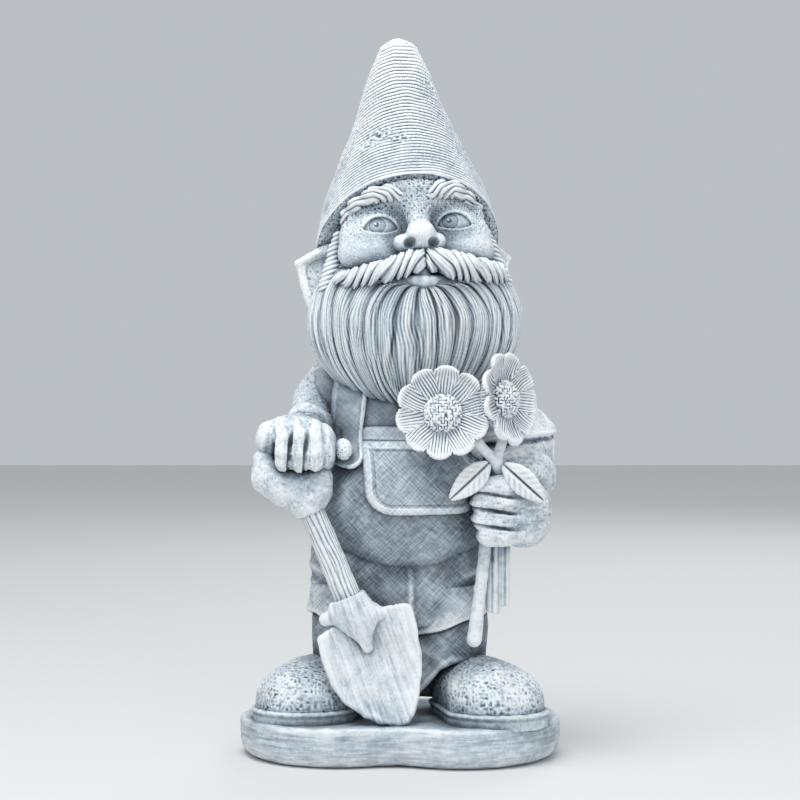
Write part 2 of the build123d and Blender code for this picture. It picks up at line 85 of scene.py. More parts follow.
class Place:
    """A turned frame: inside() takes world points to it, and out() brings one of its points back."""

    def __init__(self, at, yaw=0.0, pitch=0.0, roll=0.0, matrix=None):
        self.at = np.array(at, float)
        self.m = turn(yaw, pitch, roll) if matrix is None else matrix

    def inside(self, p):
        x, y, z = (p[i] - self.at[i] for i in range(3))
        m = self.m.astype(F32)
        return [m[0, i] * x + m[1, i] * y + m[2, i] * z for i in range(3)]

    def out(self, q):
        return self.at + self.m @ np.array(q, float)


# ---- signed distances, in mm, negative inside
def ball(p, centre, radii):
    if np.isscalar(radii):
        radii = (radii,) * 3
    q = [(p[i] - centre[i]) for i in range(3)]
    k1 = np.sqrt(sum((q[i] / radii[i]) ** 2 for i in range(3)))
    k2 = np.sqrt(sum((q[i] / (radii[i] ** 2)) ** 2 for i in range(3))) + 1e-6
    return k1 * (k1 - 1) / k2


def rod(p, a, b, ra, rb):
    a, b = np.array(a, float), np.array(b, float)
    ab = b - a
    h = sum((p[i] - a[i]) * ab[i] for i in range(3)) / (ab @ ab)
    h = np.clip(h, 0, 1)
    d2 = sum((p[i] - a[i] - h * ab[i]) ** 2 for i in range(3))
    return np.sqrt(d2) - (ra + (rb - ra) * h)


def chain(p, points, sizes, k=0.0):
    d = None
    for a, b, ra, rb in zip(points, points[1:], sizes, sizes[1:]):
        e = rod(p, a, b, ra, rb)
        d = e if d is None else join(d, e, k)
    return d


def join(a, b, k=0.0):
    if k <= 0:
        return np.minimum(a, b)
    h = np.maximum(k - np.abs(a - b), 0) / k
    return np.minimum(a, b) - h * h * (k * 0.25)


def meet(a, b, k=0.0):
    return -join(-a, -b, k)


def carve(a, b, k=0.0):
    return meet(a, -b, k)


def ring(x, y, cx, cy, a, b):
    """Distance to an ellipse in a plane."""
    u, v = (x - cx), (y - cy)
    k1 = np.sqrt((u / a) ** 2 + (v / b) ** 2)
    k2 = np.sqrt((u / (a * a)) ** 2 + (v / (b * b)) ** 2) + 1e-6
    return k1 * (k1 - 1) / k2


def slab(x, y, cx, cy, a, b, r):
    """Distance to a rounded rectangle in a plane."""
    u = np.abs(x - cx) - (a - r)
    v = np.abs(y - cy) - (b - r)
    return np.hypot(np.maximum(u, 0), np.maximum(v, 0)) + np.minimum(np.maximum(u, v), 0) - r


def bell(x, width):
    return np.exp(-(x / width) ** 2)


def ramp(x, low, high):
    t = np.clip((x - low) / (high - low), 0, 1)
    return t * t * (3 - 2 * t)


# ---- noise on points
def _hash(i, j, k, seed):
    h = (i * 374761393 + j * 668265263 + k * 2147483647 + seed * 974634777) & 0xFFFFFFFF
    h = ((h ^ (h >> 13)) * 1274126177) & 0xFFFFFFFF
    h = ((h ^ (h >> 15)) * 2246822519) & 0xFFFFFFFF
    return ((h ^ (h >> 16)) & 0xFFFFFF) / float(0xFFFFFF)


def noise(x, y, z, seed=0):
    """Smooth value noise, from -1 to 1."""
    x, y, z = np.broadcast_arrays(x, y, z)
    ix, iy, iz = (np.floor(v).astype(np.int64) for v in (x, y, z))
    fx, fy, fz = x - ix, y - iy, z - iz
    fx, fy, fz = (f * f * (3 - 2 * f) for f in (fx, fy, fz))
    total = 0
    for a in (0, 1):
        for b in (0, 1):
            for c in (0, 1):
                w = (fx if a else 1 - fx) * (fy if b else 1 - fy) * (fz if c else 1 - fz)
                total = total + w * _hash(ix + a, iy + b, iz + c, seed)
    return total * 2 - 1


def rough(p, size, seed=0, octaves=2):
    total, amp = 0, 1.0
    for o in range(octaves):
        s = size / 2 ** o
        total = total + amp * noise(p[0] / s, p[1] / s, p[2] / s, seed + 17 * o)
        amp *= 0.5
    return total


def groove(phase, sharp=1.0):
    """Ridges with valleys at whole phases: 0 in a valley, 1 on a crest."""
    t = np.abs(phase - np.floor(phase) - 0.5) * 2
    return 1 - t ** (1.0 + sharp)


def stipple(p, size=2.2, seed=5):
    a = noise(p[0] / size, p[1] / size, p[2] / size, seed)
    b = noise(p[0] / size + 7.3, p[1] / size, p[2] / size, seed + 3)
    return 0.5 - 2 * np.minimum(np.abs(a), np.abs(b))


# ---- from distance to mesh
low_corner = np.array(cad_box[0]) / MM
high_corner = np.array(cad_box[1]) / MM
ORIGIN = np.floor(low_corner / COARSE) * COARSE - 16
CELLS = tuple(int(n) for n in np.ceil((high_corner - ORIGIN + 16) / COARSE))
solid = np.zeros(CELLS, F32)
made = []


def fill(low_cell, block):
    """Adds a piece's filled share to the coarse grid."""
    a = [max(0, int(c)) for c in low_cell]
    b = [min(CELLS[i], int(low_cell[i]) + block.shape[i]) for i in range(3)]
    if any(b[i] <= a[i] for i in range(3)):
        return
    cut = tuple(slice(a[i] - int(low_cell[i]), b[i] - int(low_cell[i])) for i in range(3))
    here = tuple(slice(a[i], b[i]) for i in range(3))
    solid[here] = np.maximum(solid[here], block[cut])


def shape(low, high, step, field):
    """Samples a distance on a grid and returns the vertices, in mm, and the faces of its zero surface."""
    low_cell = np.floor((np.array(low) - ORIGIN) / COARSE)
    start = ORIGIN + low_cell * COARSE
    per = int(round(COARSE / step))
    count = [int(math.ceil((high[i] - start[i]) / COARSE)) * per + 1 for i in range(3)]
    axes = [(start[i] + np.arange(count[i]) * step).astype(F32) for i in range(3)]
    p = [axes[0][:, None, None], axes[1][None, :, None], axes[2][None, None, :]]
    d = np.broadcast_to(field(p), count).astype(F32)
    fill(low_cell, np.clip(0.5 - d[::per, ::per, ::per] / COARSE, 0, 1))
    edge = step
    d = d.copy()
    for i in range(3):
        for end in (0, -1):
            where = [slice(None)] * 3
            where[i] = end
            d[tuple(where)] = np.maximum(d[tuple(where)], edge)
    grid = openvdb.FloatGrid(background=3 * step)
    grid.copyFromArray(np.clip(d, -3 * step, 3 * step), tolerance=0)
    points, tris, quads = grid.convertToPolygons(isovalue=0.0, adaptivity=0.0)
    return start + points * step, tris, quads


def mesh_of(name, points, tris, quads):
    mesh = bpy.data.meshes.new(name)
    n_tri, n_quad = len(tris), len(quads)
    mesh.vertices.add(len(points))
    mesh.vertices.foreach_set("co", (points * MM).astype(F32).ravel())
    mesh.loops.add(3 * n_tri + 4 * n_quad)
    loops = np.concatenate([np.asarray(tris).ravel(), np.asarray(quads).ravel()]).astype(np.int32)
    mesh.loops.foreach_set("vertex_index", loops)
    mesh.polygons.add(n_tri + n_quad)
    starts = np.concatenate([np.arange(n_tri) * 3, 3 * n_tri + np.arange(n_quad) * 4]).astype(np.int32)
    mesh.polygons.foreach_set("loop_start", starts)
    mesh.update(calc_edges=True)
    return mesh


def normals_of(mesh):
    n = np.empty(len(mesh.vertices) * 3, F32)
    mesh.vertices.foreach_get("normal", n)
    return n.reshape(-1, 3)


def even_out(mesh, value, rounds):
    """Averages a value over each vertex's neighbours."""
    pairs = np.empty(len(mesh.edges) * 2, np.int32)
    mesh.edges.foreach_get("vertices", pairs)
    a, b = pairs[::2], pairs[1::2]
    count = len(mesh.vertices)
    links = np.bincount(a, minlength=count) + np.bincount(b, minlength=count) + 1.0
    for _ in range(rounds):
        value = (value + np.bincount(a, value[b], count) + np.bincount(b, value[a], count)) / links
    return value


def attribute(mesh, name, values):
    mesh.attributes.new(name, "FLOAT", "POINT").data.foreach_set("value", values.astype(F32))


def piece(name, nodes, mesh, material, relief=None, flow=None, reach=8):
    """Adds a piece: its relief is carved in, and its fine height and flow are kept for the material."""
    count = len(mesh.vertices)
    co = np.empty(count * 3, F32)
    mesh.vertices.foreach_get("co", co)
    co = co.reshape(-1, 3) / MM
    p = [co[:, i].astype(float) for i in range(3)]
    height = np.zeros(count)
    if relief is not None:
        n = normals_of(mesh)
        height = relief(p, [n[:, i] for i in range(3)])
        co = co + n * height[:, None].astype(F32)
        mesh.vertices.foreach_set("co", (co * MM).ravel())
        mesh.update()
    u, v = flow(p) if flow is not None else (np.zeros(count), np.zeros(count))
    return register(name, nodes, mesh, material, height - even_out(mesh, height, reach), u, v)


def register(name, nodes, mesh, material, height, u, v):
    """Puts a finished mesh in the scene with what its material reads."""
    attribute(mesh, "relief", height)
    attribute(mesh, "flow_u", u)
    attribute(mesh, "flow_v", v)
    mesh.polygons.foreach_set("use_smooth", np.ones(len(mesh.polygons), bool))
    obj = bpy.data.objects.new(name, mesh)
    bpy.context.scene.collection.objects.link(obj)
    mesh.materials.append(material)
    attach(obj, "root")
    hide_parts(*nodes)
    made.append(obj)
    return obj


def box_round(points, margin):
    """The low and high corners of a box that leaves a margin round points of the head."""
    world = [HEAD.out(b) for b in points]
    return np.min(world, 0) - margin, np.max(world, 0) + margin


def carve_piece(name, nodes, low, high, step, field, material, relief=None, flow=None, reach=8):
    points, tris, quads = shape(low, high, step, field)
    mesh = mesh_of(name, points, tris, quads)
    return piece(name, nodes, mesh, material, relief, flow, reach)


def shade():
    """Stores how deep in a hollow each vertex lies, at three sizes, for the material's dark wash and
    painted shade.
    """
    for name, size in (("near_hollow", 1), ("mid_hollow", 4), ("far_hollow", 12)):
        field = solid
        for axis in range(3):
            total = np.cumsum(field, axis=axis, dtype=np.float64)
            n = field.shape[axis]
            hi = np.minimum(np.arange(n) + size, n - 1)
            lo = np.arange(n) - size - 1
            top = np.take(total, hi, axis=axis)
            under = np.take(total, np.maximum(lo, 0), axis=axis)
            mask = (lo >= 0).reshape([-1 if i == axis else 1 for i in range(3)])
            field = ((top - under * mask) / (2 * size + 1)).astype(F32)
        for obj in made:
            mesh = obj.data
            co = np.empty(len(mesh.vertices) * 3, F32)
            mesh.vertices.foreach_get("co", co)
            n = normals_of(mesh)
            g = (co.reshape(-1, 3) / MM + n * 0.8 - ORIGIN) / COARSE
            i = np.clip(np.floor(g).astype(int), 0, np.array(CELLS) - 2)
            f = np.clip(g - i, 0, 1)
            value = 0
            for a in (0, 1):
                for b in (0, 1):
                    for c in (0, 1):
                        w = (f[:, 0] if a else 1 - f[:, 0]) * (f[:, 1] if b else 1 - f[:, 1])
                        w = w * (f[:, 2] if c else 1 - f[:, 2])
                        value = value + w * field[i[:, 0] + a, i[:, 1] + b, i[:, 2] + c]
            attribute(mesh, name, value)


# ---- the stone
def stone(name, lift=0.0, weave=0.0, streak=0.0, grit=0.5, relief=1.0, streak_scale=1.0, brush=0.0):
    """Cast stone with a slate base and a pale dry-brushed top, after the height attribute; the hollow
    attributes darken it, partly as the dark wash in its crevices and partly as painted shade in recesses.
    """
    mat = bpy.data.materials.new(name)
    mat.use_nodes = True
    nodes, links = mat.node_tree.nodes, mat.node_tree.links
    nodes.clear()
    out = nodes.new("ShaderNodeOutputMaterial")
    bsdf = nodes.new("ShaderNodeBsdfPrincipled")
    links.new(bsdf.outputs[0], out.inputs[0])
    coords = nodes.new("ShaderNodeTexCoord").outputs["Object"]

    def attr(key):
        node = nodes.new("ShaderNodeAttribute")
        node.attribute_name = key
        return node.outputs["Fac"]

    def calc(op, *args, clamp=False):
        node = nodes.new("ShaderNodeMath")
        node.operation = op
        node.use_clamp = clamp
        for socket, arg in zip(node.inputs, args):
            if isinstance(arg, (int, float)):
                socket.default_value = arg
            else:
                links.new(arg, socket)
        return node.outputs[0]

    def cloud(scale, detail=3.0, vector=None, roughness=0.6):
        node = nodes.new("ShaderNodeTexNoise")
        node.inputs["Scale"].default_value = scale
        node.inputs["Detail"].default_value = detail
        node.inputs["Roughness"].default_value = roughness
        links.new(vector if vector is not None else coords, node.inputs["Vector"])
        return calc("SUBTRACT", node.outputs["Fac"], 0.5)

    def stretched(scale_xyz, rotation=(0, 0, 0)):
        node = nodes.new("ShaderNodeMapping")
        node.inputs["Scale"].default_value = scale_xyz
        node.inputs["Rotation"].default_value = rotation
        links.new(coords, node.inputs["Vector"])
        return node.outputs[0]

    tone = calc("ADD", 0.63 + lift, calc("MULTIPLY", attr("relief"), 0.34 * relief))
    # Darker the deeper a point lies in a hollow: partly the dark wash of the crevices, partly painted
    # shade, the widest size most of all.
    for key, weight in (("near_hollow", -0.55), ("mid_hollow", -0.50), ("far_hollow", -0.75)):
        tone = calc("ADD", tone, calc("MULTIPLY", calc("SUBTRACT", attr(key), 0.42), weight))
    fine = cloud(1500.0, 2.0)
    tone = calc("ADD", tone, calc("MULTIPLY", fine, 0.42 * grit))
    tone = calc("ADD", tone, calc("MULTIPLY", cloud(420.0, 4.0), 0.40 * grit))
    tone = calc("ADD", tone, calc("MULTIPLY", cloud(38.0, 3.0), 0.34))
    bump_height = calc("MULTIPLY", fine, 0.25)
    if weave:
        # Two sets of scratched lines cross at right angles; each is a noise drawn out along its lines.
        for angle, offset in ((0.80, 0.0), (-0.77, 7.0)):
            turned_node = nodes.new("ShaderNodeMapping")
            turned_node.inputs["Rotation"].default_value = (0, angle, 0)
            turned_node.inputs["Location"].default_value = (offset, offset, 0)
            links.new(coords, turned_node.inputs["Vector"])
            drawn = nodes.new("ShaderNodeMapping")
            drawn.inputs["Scale"].default_value = (980, 110, 70)
            links.new(turned_node.outputs[0], drawn.inputs["Vector"])
            lines = cloud(1.0, 2.0, drawn.outputs[0], 0.5)
            tone = calc("ADD", tone, calc("MULTIPLY", lines, 0.72 * weave))
            bump_height = calc("ADD", bump_height, calc("MULTIPLY", lines, 1.1 * weave))
    if streak:
        vector = nodes.new("ShaderNodeCombineXYZ")
        links.new(attr("flow_u"), vector.inputs[0])
        links.new(attr("flow_v"), vector.inputs[1])
        strands = cloud(streak_scale, 3.0, vector.outputs[0], 0.65)
        tone = calc("ADD", tone, calc("MULTIPLY", strands, 0.75 * streak))
        bump_height = calc("ADD", bump_height, calc("MULTIPLY", strands, 1.3 * streak))
    if brush:
        strokes = cloud(1.0, 3.0, stretched((60, 60, 900)))
        tone = calc("ADD", tone, calc("MULTIPLY", strokes, 0.45 * brush))
        bump_height = calc("ADD", bump_height, calc("MULTIPLY", strokes, 0.5 * brush))
    ramp_node = nodes.new("ShaderNodeValToRGB")
    stops = ((0.0, (0.030, 0.036, 0.045)), (0.22, (0.085, 0.105, 0.130)), (0.45, (0.23, 0.28, 0.33)),
             (0.66, (0.46, 0.53, 0.59)), (0.85, (0.74, 0.79, 0.82)), (1.0, (0.90, 0.92, 0.93)))
    element = ramp_node.color_ramp.elements
    element[0].position, element[0].color = stops[0][0], (*stops[0][1], 1)
    element[1].position, element[1].color = stops[-1][0], (*stops[-1][1], 1)
    for where, colour in stops[1:-1]:
        element.new(where).color = (*colour, 1)
    links.new(tone, ramp_node.inputs[0])
    warm = nodes.new("ShaderNodeMixRGB")
    warm.inputs[2].default_value = (0.40, 0.37, 0.33, 1)
    links.new(ramp_node.outputs[0], warm.inputs[1])
    stain = calc("MULTIPLY", calc("ADD", cloud(22.0, 4.0), -0.06), 1.6, clamp=True)
    links.new(stain, warm.inputs[0])
    links.new(warm.outputs[0], bsdf.inputs["Base Color"])
    links.new(calc("ADD", 0.78, calc("MULTIPLY", cloud(300.0), 0.3)), bsdf.inputs["Roughness"])
    bump = nodes.new("ShaderNodeBump")
    bump.inputs["Strength"].default_value = 0.6
    bump.inputs["Distance"].default_value = 0.0009
    links.new(bump_height, bump.inputs["Height"])
    links.new(bump.outputs[0], bsdf.inputs["Normal"])
    return mat


CLOTH = stone("cloth_stone", -0.13, weave=0.75, grit=0.6)
CLOTH_SOFT = stone("cloth_soft_stone", -0.07, weave=0.4, grit=0.6)
SKIN = stone("skin_stone", 0.02, grit=1.0, relief=1.6)
HAIR = stone("hair_stone", 0.02, streak=1.1, grit=0.4, relief=1.5)
HAT = stone("hat_stone", 0.06, grit=0.8, relief=2.6)
BOOT = stone("boot_stone", -0.02, grit=0.8, relief=1.6)
PLINTH = stone("plinth_stone", -0.05, grit=0.6, brush=1.0)
WOOD = stone("shaft_stone", -0.04, streak=0.8, grit=0.4, relief=1.5)
BLADE = stone("blade_stone", -0.03, streak=0.5, grit=0.9, relief=1.4)
# Its lower lift darkens petals, leaves and stems alike; for the petals it is partly painted shade in their
# cups.
PETAL = stone("petal_stone", -0.06, streak=0.9, grit=0.5, relief=2.4)

# ---- frames of the body
TORSO = Place((0, 0, 0), 10)
HEAD_YAW, HEAD_PITCH, HEAD_ROLL = 8.0, 12.0, 1.5
HEAD = Place((6.5, 1, 387), HEAD_YAW, HEAD_PITCH, HEAD_ROLL)
BELLY = (2, -8, 193)
BELLY_R = (67, 60, 60)
CHEST = (0, 8, 260)
CHEST_R = (60, 44, 60)
PLINTH_TOP = 30.0


def torso(p):
    q = TORSO.inside(p)
    return q, join(ball(q, BELLY, BELLY_R), ball(q, CHEST, CHEST_R), 8)


# ---- plinth

def plinth_field(p):
    d = join(ring(p[0], p[1], -46, 3, 76, 88.5), ring(p[0], p[1], 46, -3, 76, 88.5), 26)
    top = p[2] - PLINTH_TOP
    bottom = -p[2]
    edge = meet(d, top, 4)
    return meet(edge, bottom, 15)


def plinth_relief(p, n):
    side = 1 - np.abs(n[2])
    strokes = noise(p[0] / 14, p[1] / 14, p[2] / 1.6, 3) * 0.35 * side
    low = ramp(10 - p[2], 0, 8) * side * rough(p, 3.5, 9) * 0.9
    return strokes + low + rough(p, 9, 4) * 0.35 * (p[2] > 1)


carve_piece("plinth_block", ["plinth"], (-124, -94, -2), (124, 94, 32), WIDE,
            plinth_field, PLINTH, plinth_relief)

# ---- boots
SOLE_TOP = PLINTH_TOP + 9.5
for side, name in ((-1, "right"), (1, "left")):
    c = mid(f"{name}_boot_sole")
    boot = Place((c[0] - side * 1.5, c[1] + 2, 0), side * 24)

    def footprint(p, grow=0.0, boot=boot):
        q = boot.inside(p)
        h = np.clip((q[1] + 27) / 54, 0, 1)
        radius = 39.5 + (27 - 39.5) * h + grow
        return q, np.hypot(q[0], q[1] + 27 - h * 54) - radius

    def sole_field(p, footprint=footprint):
        q, d = footprint(p)
        welt = bell(p[2] - (SOLE_TOP - 1.8), 1.6)
        cut = bell(p[2] - (SOLE_TOP - 4.2), 0.9) * 1.1
        return meet(meet(d - welt + cut, p[2] - SOLE_TOP, 1.6), (PLINTH_TOP - 3) - p[2], 0.5)

    def upper_field(p, boot=boot, footprint=footprint):
        q, d = footprint(p, -2.0)
        toe = ball(q, (0, -25, SOLE_TOP + 2), (38.5, 39.5, 31.5))
        instep = ball(q, (0, 4, SOLE_TOP + 2), (32, 40, 34))
        heel = ball(q, (0, 26, SOLE_TOP + 2), (26, 26, 31))
        body = join(join(toe, instep, 14), heel, 10)
        return meet(meet(body, d, 4), (SOLE_TOP - 1.5) - p[2], 1)

    def leather(p, n):
        return stipple(p, 2.6, 11) * 0.8 + rough(p, 12, 2) * 0.6

    corner, far_corner = (c[0] - 50, c[1] - 64), (c[0] + 50, c[1] + 64)
    low, high = (*corner, PLINTH_TOP - 6), (*far_corner, SOLE_TOP + 4)
    carve_piece(f"{name}_sole", [f"{name}_boot_sole"], low, high, WIDE, sole_field, BOOT,
                lambda p, n: rough(p, 4, 3) * 0.25)
    low, high = (*corner, SOLE_TOP - 4), (*far_corner, SOLE_TOP + 46)
    carve_piece(f"{name}_boot", [f"{name}_boot_upper"], low, high, WIDE, upper_field, BOOT,
                leather)

# ---- trousers
LEG_SECTIONS = np.array([
    # height, x, y, half width, half depth
    (36, 38, 9, 33, 36), (52, 37, 8, 32, 35), (74, 35, 6, 31, 34), (95, 34, 5, 34, 38),
    (110, 33, 5, 35, 41), (132, 31, 5, 35, 43)])
SEAT_SECTIONS = np.array([
    (98, 0, 6, 62, 44), (112, 0, 6, 65, 48), (130, 0, 7, 67, 52), (155, 0, 8, 68, 54),
    (190, 0, 9, 65, 52), (220, 0, 9, 61, 48)])


def loft(p, sections, side=1):
    z = np.asarray(p[2], float)
    cx, cy, a, b = (np.interp(z, sections[:, 0], sections[:, i]).astype(F32) for i in (1, 2, 3, 4))
    u, v = p[0] - side * cx, p[1] - cy
    k1 = np.sqrt((u / a) ** 2 + (v / b) ** 2)
    k2 = np.sqrt((u / a ** 2) ** 2 + (v / b ** 2) ** 2) + 1e-6
    return k1 * (k1 - 1) / k2


for side, name in ((-1, "right"), (1, "left")):
    def hem(p, side=side):
        u = side * p[0]
        front = ramp(-p[1], -14, 8)
        return 41 + 31 * ramp(u, 4, 40) * front

    def leg_field(p, side=side, hem=hem):
        d = loft(p, LEG_SECTIONS, side)
        d = meet(d, -side * p[0] - 0.5, 5)
        d = meet(d, p[2] - 130, 2)
        return meet(d, hem(p) - p[2], 3)

    def leg_relief(p, n, side=side, hem=hem):
        u = side * p[0]
        lip = bell(p[2] - hem(p) - 2.5, 2.6) * 1.2
        fold_at = 95 + 0.30 * (u - 20) + 2 * noise(p[0] / 16, p[1] / 16, 0, 8)
        fold = 4.5 * ramp(p[2] - fold_at, -1.2, 1.6) * np.exp(-np.maximum(p[2] - fold_at, 0) / 16)
        fold = fold - 1.6 * ramp(fold_at - p[2], 0, 1.0) * np.exp(-np.maximum(fold_at - p[2], 0) / 6)
        second = 1.8 * bell(p[2] - 84 + 0.3 * u + 4 * noise(p[0] / 20, p[1] / 20, 2, 6), 5)
        return lip + fold + second * 0.6 + rough(p, 16, 7) * 0.9

    low = (-72 if side < 0 else -4, -44, 36)
    high = (4 if side < 0 else 72, 56, 132)
    carve_piece(f"{name}_leg", [f"{name}_trouser_leg"], low, high, WIDE, leg_field, CLOTH,
                leg_relief)


def seat_field(p):
    d = loft(p, SEAT_SECTIONS)
    d = meet(d, 100 - p[2], 4)
    return meet(d, p[2] - 214, 6)


def seat_relief(p, n):
    front = ramp(-p[1], -5, 20)
    seam = bell(p[0] - 8, 2.2) * front * ramp(150 - p[2], 0, 20)
    centre = bell(p[0], 2.0) * ramp(p[1], 0, 20)
    hips = 0.0
    for k in range(3):
        line = p[2] - (112 + 13 * k) - 0.35 * (np.abs(p[0]) - 50)
        hips = hips + bell(line, 3.2) * ramp(np.abs(p[0]), 34, 58)
    return seam * 1.6 - centre * 1.2 + hips * 1.8 + rough(p, 18, 21) * 0.9


carve_piece("seat", ["trouser_seat"], (-72, -50, 98), (72, 66, 218), WIDE, seat_field, CLOTH,
            seat_relief)

# ---- belly, shirt, bib, pocket, straps
carve_piece("belly", ["overalls_belly"], (-70, -72, 130), (74, 56, 256), WIDE,
            lambda p: ball(TORSO.inside(p), BELLY, BELLY_R), CLOTH,
            lambda p, n: rough(p, 22, 31) * 0.8)


def shirt_field(p):
    q = TORSO.inside(p)
    d = ball(q, CHEST, CHEST_R)
    for s in (-1, 1):
        d = join(d, ball(q, (s * 40, 9, 284), (24, 26, 22)), 12)
    return d


carve_piece("shirt", ["shirt_body"], (-72, -44, 198), (72, 60, 324), WIDE, shirt_field,
            CLOTH_SOFT, lambda p, n: rough(p, 14, 41) * 0.9)


def layer(thick, outline, k=2.0, front=True):
    """A field for a layer of cloth on the torso, inside an outline drawn on its front."""
    def field(p):
        q, d = torso(p)
        q = [np.broadcast_to(c, d.shape) for c in q]
        d = meet(d - thick, outline(q), k)
        return meet(d, q[1] + 4 if front else 4 - q[1], 1)
    return field


def bib_outline(q):
    return slab(q[0], q[2], 4, 226, 40, 24, 5)


def bib_relief(p, n):
    q = TORSO.inside(p)
    band = ramp(q[2], 240.5, 241.5) * 1.3
    return band + rough(p, 16, 51) * 0.5


carve_piece("bib_panel", ["bib"], (-50, -76, 184), (62, 0, 250), MEDIUM,
            layer(3.4, bib_outline), CLOTH_SOFT, bib_relief)


def pocket_outline(q):
    low = slab(q[0], q[2], 7, 214, 43, 26, 18)
    top = slab(q[0], q[2], 7, 228, 43, 12, 3)
    return join(low, top, 0)


def pocket_relief(p, n):
    q = TORSO.inside(p)
    edge = -pocket_outline(q)
    hem = ramp(4.6 - edge, 0, 0.9) * 0.9
    stitch = bell(edge - 6.0, 0.6) * 0.5
    top = ramp(q[2], 234.5, 235.5)
    return np.maximum(hem, top) - stitch + rough(p, 15, 61) * 0.4


carve_piece("pocket", ["bib_pocket"], (-46, -82, 176), (66, 0, 240), MEDIUM,
            layer(6.4, pocket_outline), CLOTH, pocket_relief)

STRAP_X = 44.5
STRAP_TIP = 232.0
for side, name in ((-1, "right"), (1, "left")):
    def strap_outline(q, side=side):
        middle = side * (STRAP_X + 0.1 * (262 - q[2]))
        over = np.abs(q[0] - middle) - 11
        tip = np.hypot(q[0] - side * (STRAP_X + 3), q[2] - STRAP_TIP) - 11
        straight = meet(over, STRAP_TIP - q[2], 0)
        return join(straight, tip, 0)

    def strap_field(p, side=side, outline=strap_outline):
        q, d = torso(p)
        q = [np.broadcast_to(c, d.shape) for c in q]
        shoulder = ball(q, (side * 40, 9, 284), (25, 27, 23))
        d = join(d, shoulder, 10)
        front = outline(q)
        back = np.abs(q[0] - side * (STRAP_X - 3)) - 10
        back = meet(back, 236 - q[2], 0)
        o = np.where(q[1] < 8, front, back)
        return meet(d - 6.2, o, 2.0)

    def strap_relief(p, n, side=side, outline=strap_outline):
        q = TORSO.inside(p)
        edge = 11 - np.abs(q[0] - side * (STRAP_X + 0.1 * (262 - q[2])))
        tip = 11 - np.hypot(q[0] - side * (STRAP_X + 3), q[2] - STRAP_TIP)
        edge = np.where(q[2] < STRAP_TIP, tip, edge)
        inner = ramp(2.6 - edge, 0, 0.8) * np.where(side * q[0] < STRAP_X + 3, 1.0, 0.4)
        hole = bell(q[0] - side * (STRAP_X + 5), 1.2) * bell(q[2] - 245, 4.0)
        return inner * 1.1 - hole * 1.0 * (q[1] < 0) + rough(p, 12, 71) * 0.4

    low, high = ((-68, -66, 206), (-12, 72, 324)) if side < 0 else ((14, -62, 206), (74, 72, 324))
    carve_piece(f"{name}_brace", [f"{name}_strap"], low, high, WIDE, strap_field, CLOTH_SOFT,
                strap_relief)

buttons = []
for side in (-1, 1):
    q = (side * 51, -47, 235)
    at = TORSO.out(q)
    buttons.append(Place(at, 10 + side * 34, 6, 14))


def button_field(p):
    d = None
    for place in buttons:
        q = place.inside(p)
        e = ball(q, (0, 0, 0), (6.5, 6.0, 8.0))
        d = e if d is None else join(d, e)
    return d


carve_piece("buttons", ["strap_buttons"], (-54, -64, 222), (66, -20, 246), FINE,
            button_field, SKIN, lambda p, n: stipple(p, 1.7, 13) * 0.7)


def back_outline(q):
    wide = 44 - (q[2] - 196) * (10 / 70)
    side = np.abs(q[0]) - wide
    return meet(meet(side, q[2] - 266, 3), 190 - q[2], 3)


carve_piece("back_panel", ["overalls_back"], (-56, 0, 188), (56, 66, 272), WIDE,
            layer(3.6, back_outline, front=False), CLOTH,
            lambda p, n: ramp(p[2], 258, 259.5) * 1.0 + rough(p, 16, 81) * 0.6)


def rear_field(p):
    d = None
    body = loft(p, SEAT_SECTIONS)
    for s in (-1, 1):
        o = slab(p[0], p[2], s * 30, 150, 17, 20, 6)
        d = o if d is None else join(d, o)
    return meet(meet(body - 4, d, 2), -p[1], 1)


def rear_relief(p, n):
    edge = np.minimum(17 - np.abs(np.abs(p[0]) - 30), 20 - np.abs(p[2] - 150))
    return ramp(3.4 - edge, 0, 0.9) * 0.8 + ramp(p[2], 161, 162) * 0.8 + rough(p, 12, 83) * 0.4


carve_piece("rear_patches", ["rear_pockets"], (-54, 20, 124), (54, 70, 176), WIDE,
            rear_field, CLOTH, rear_relief)

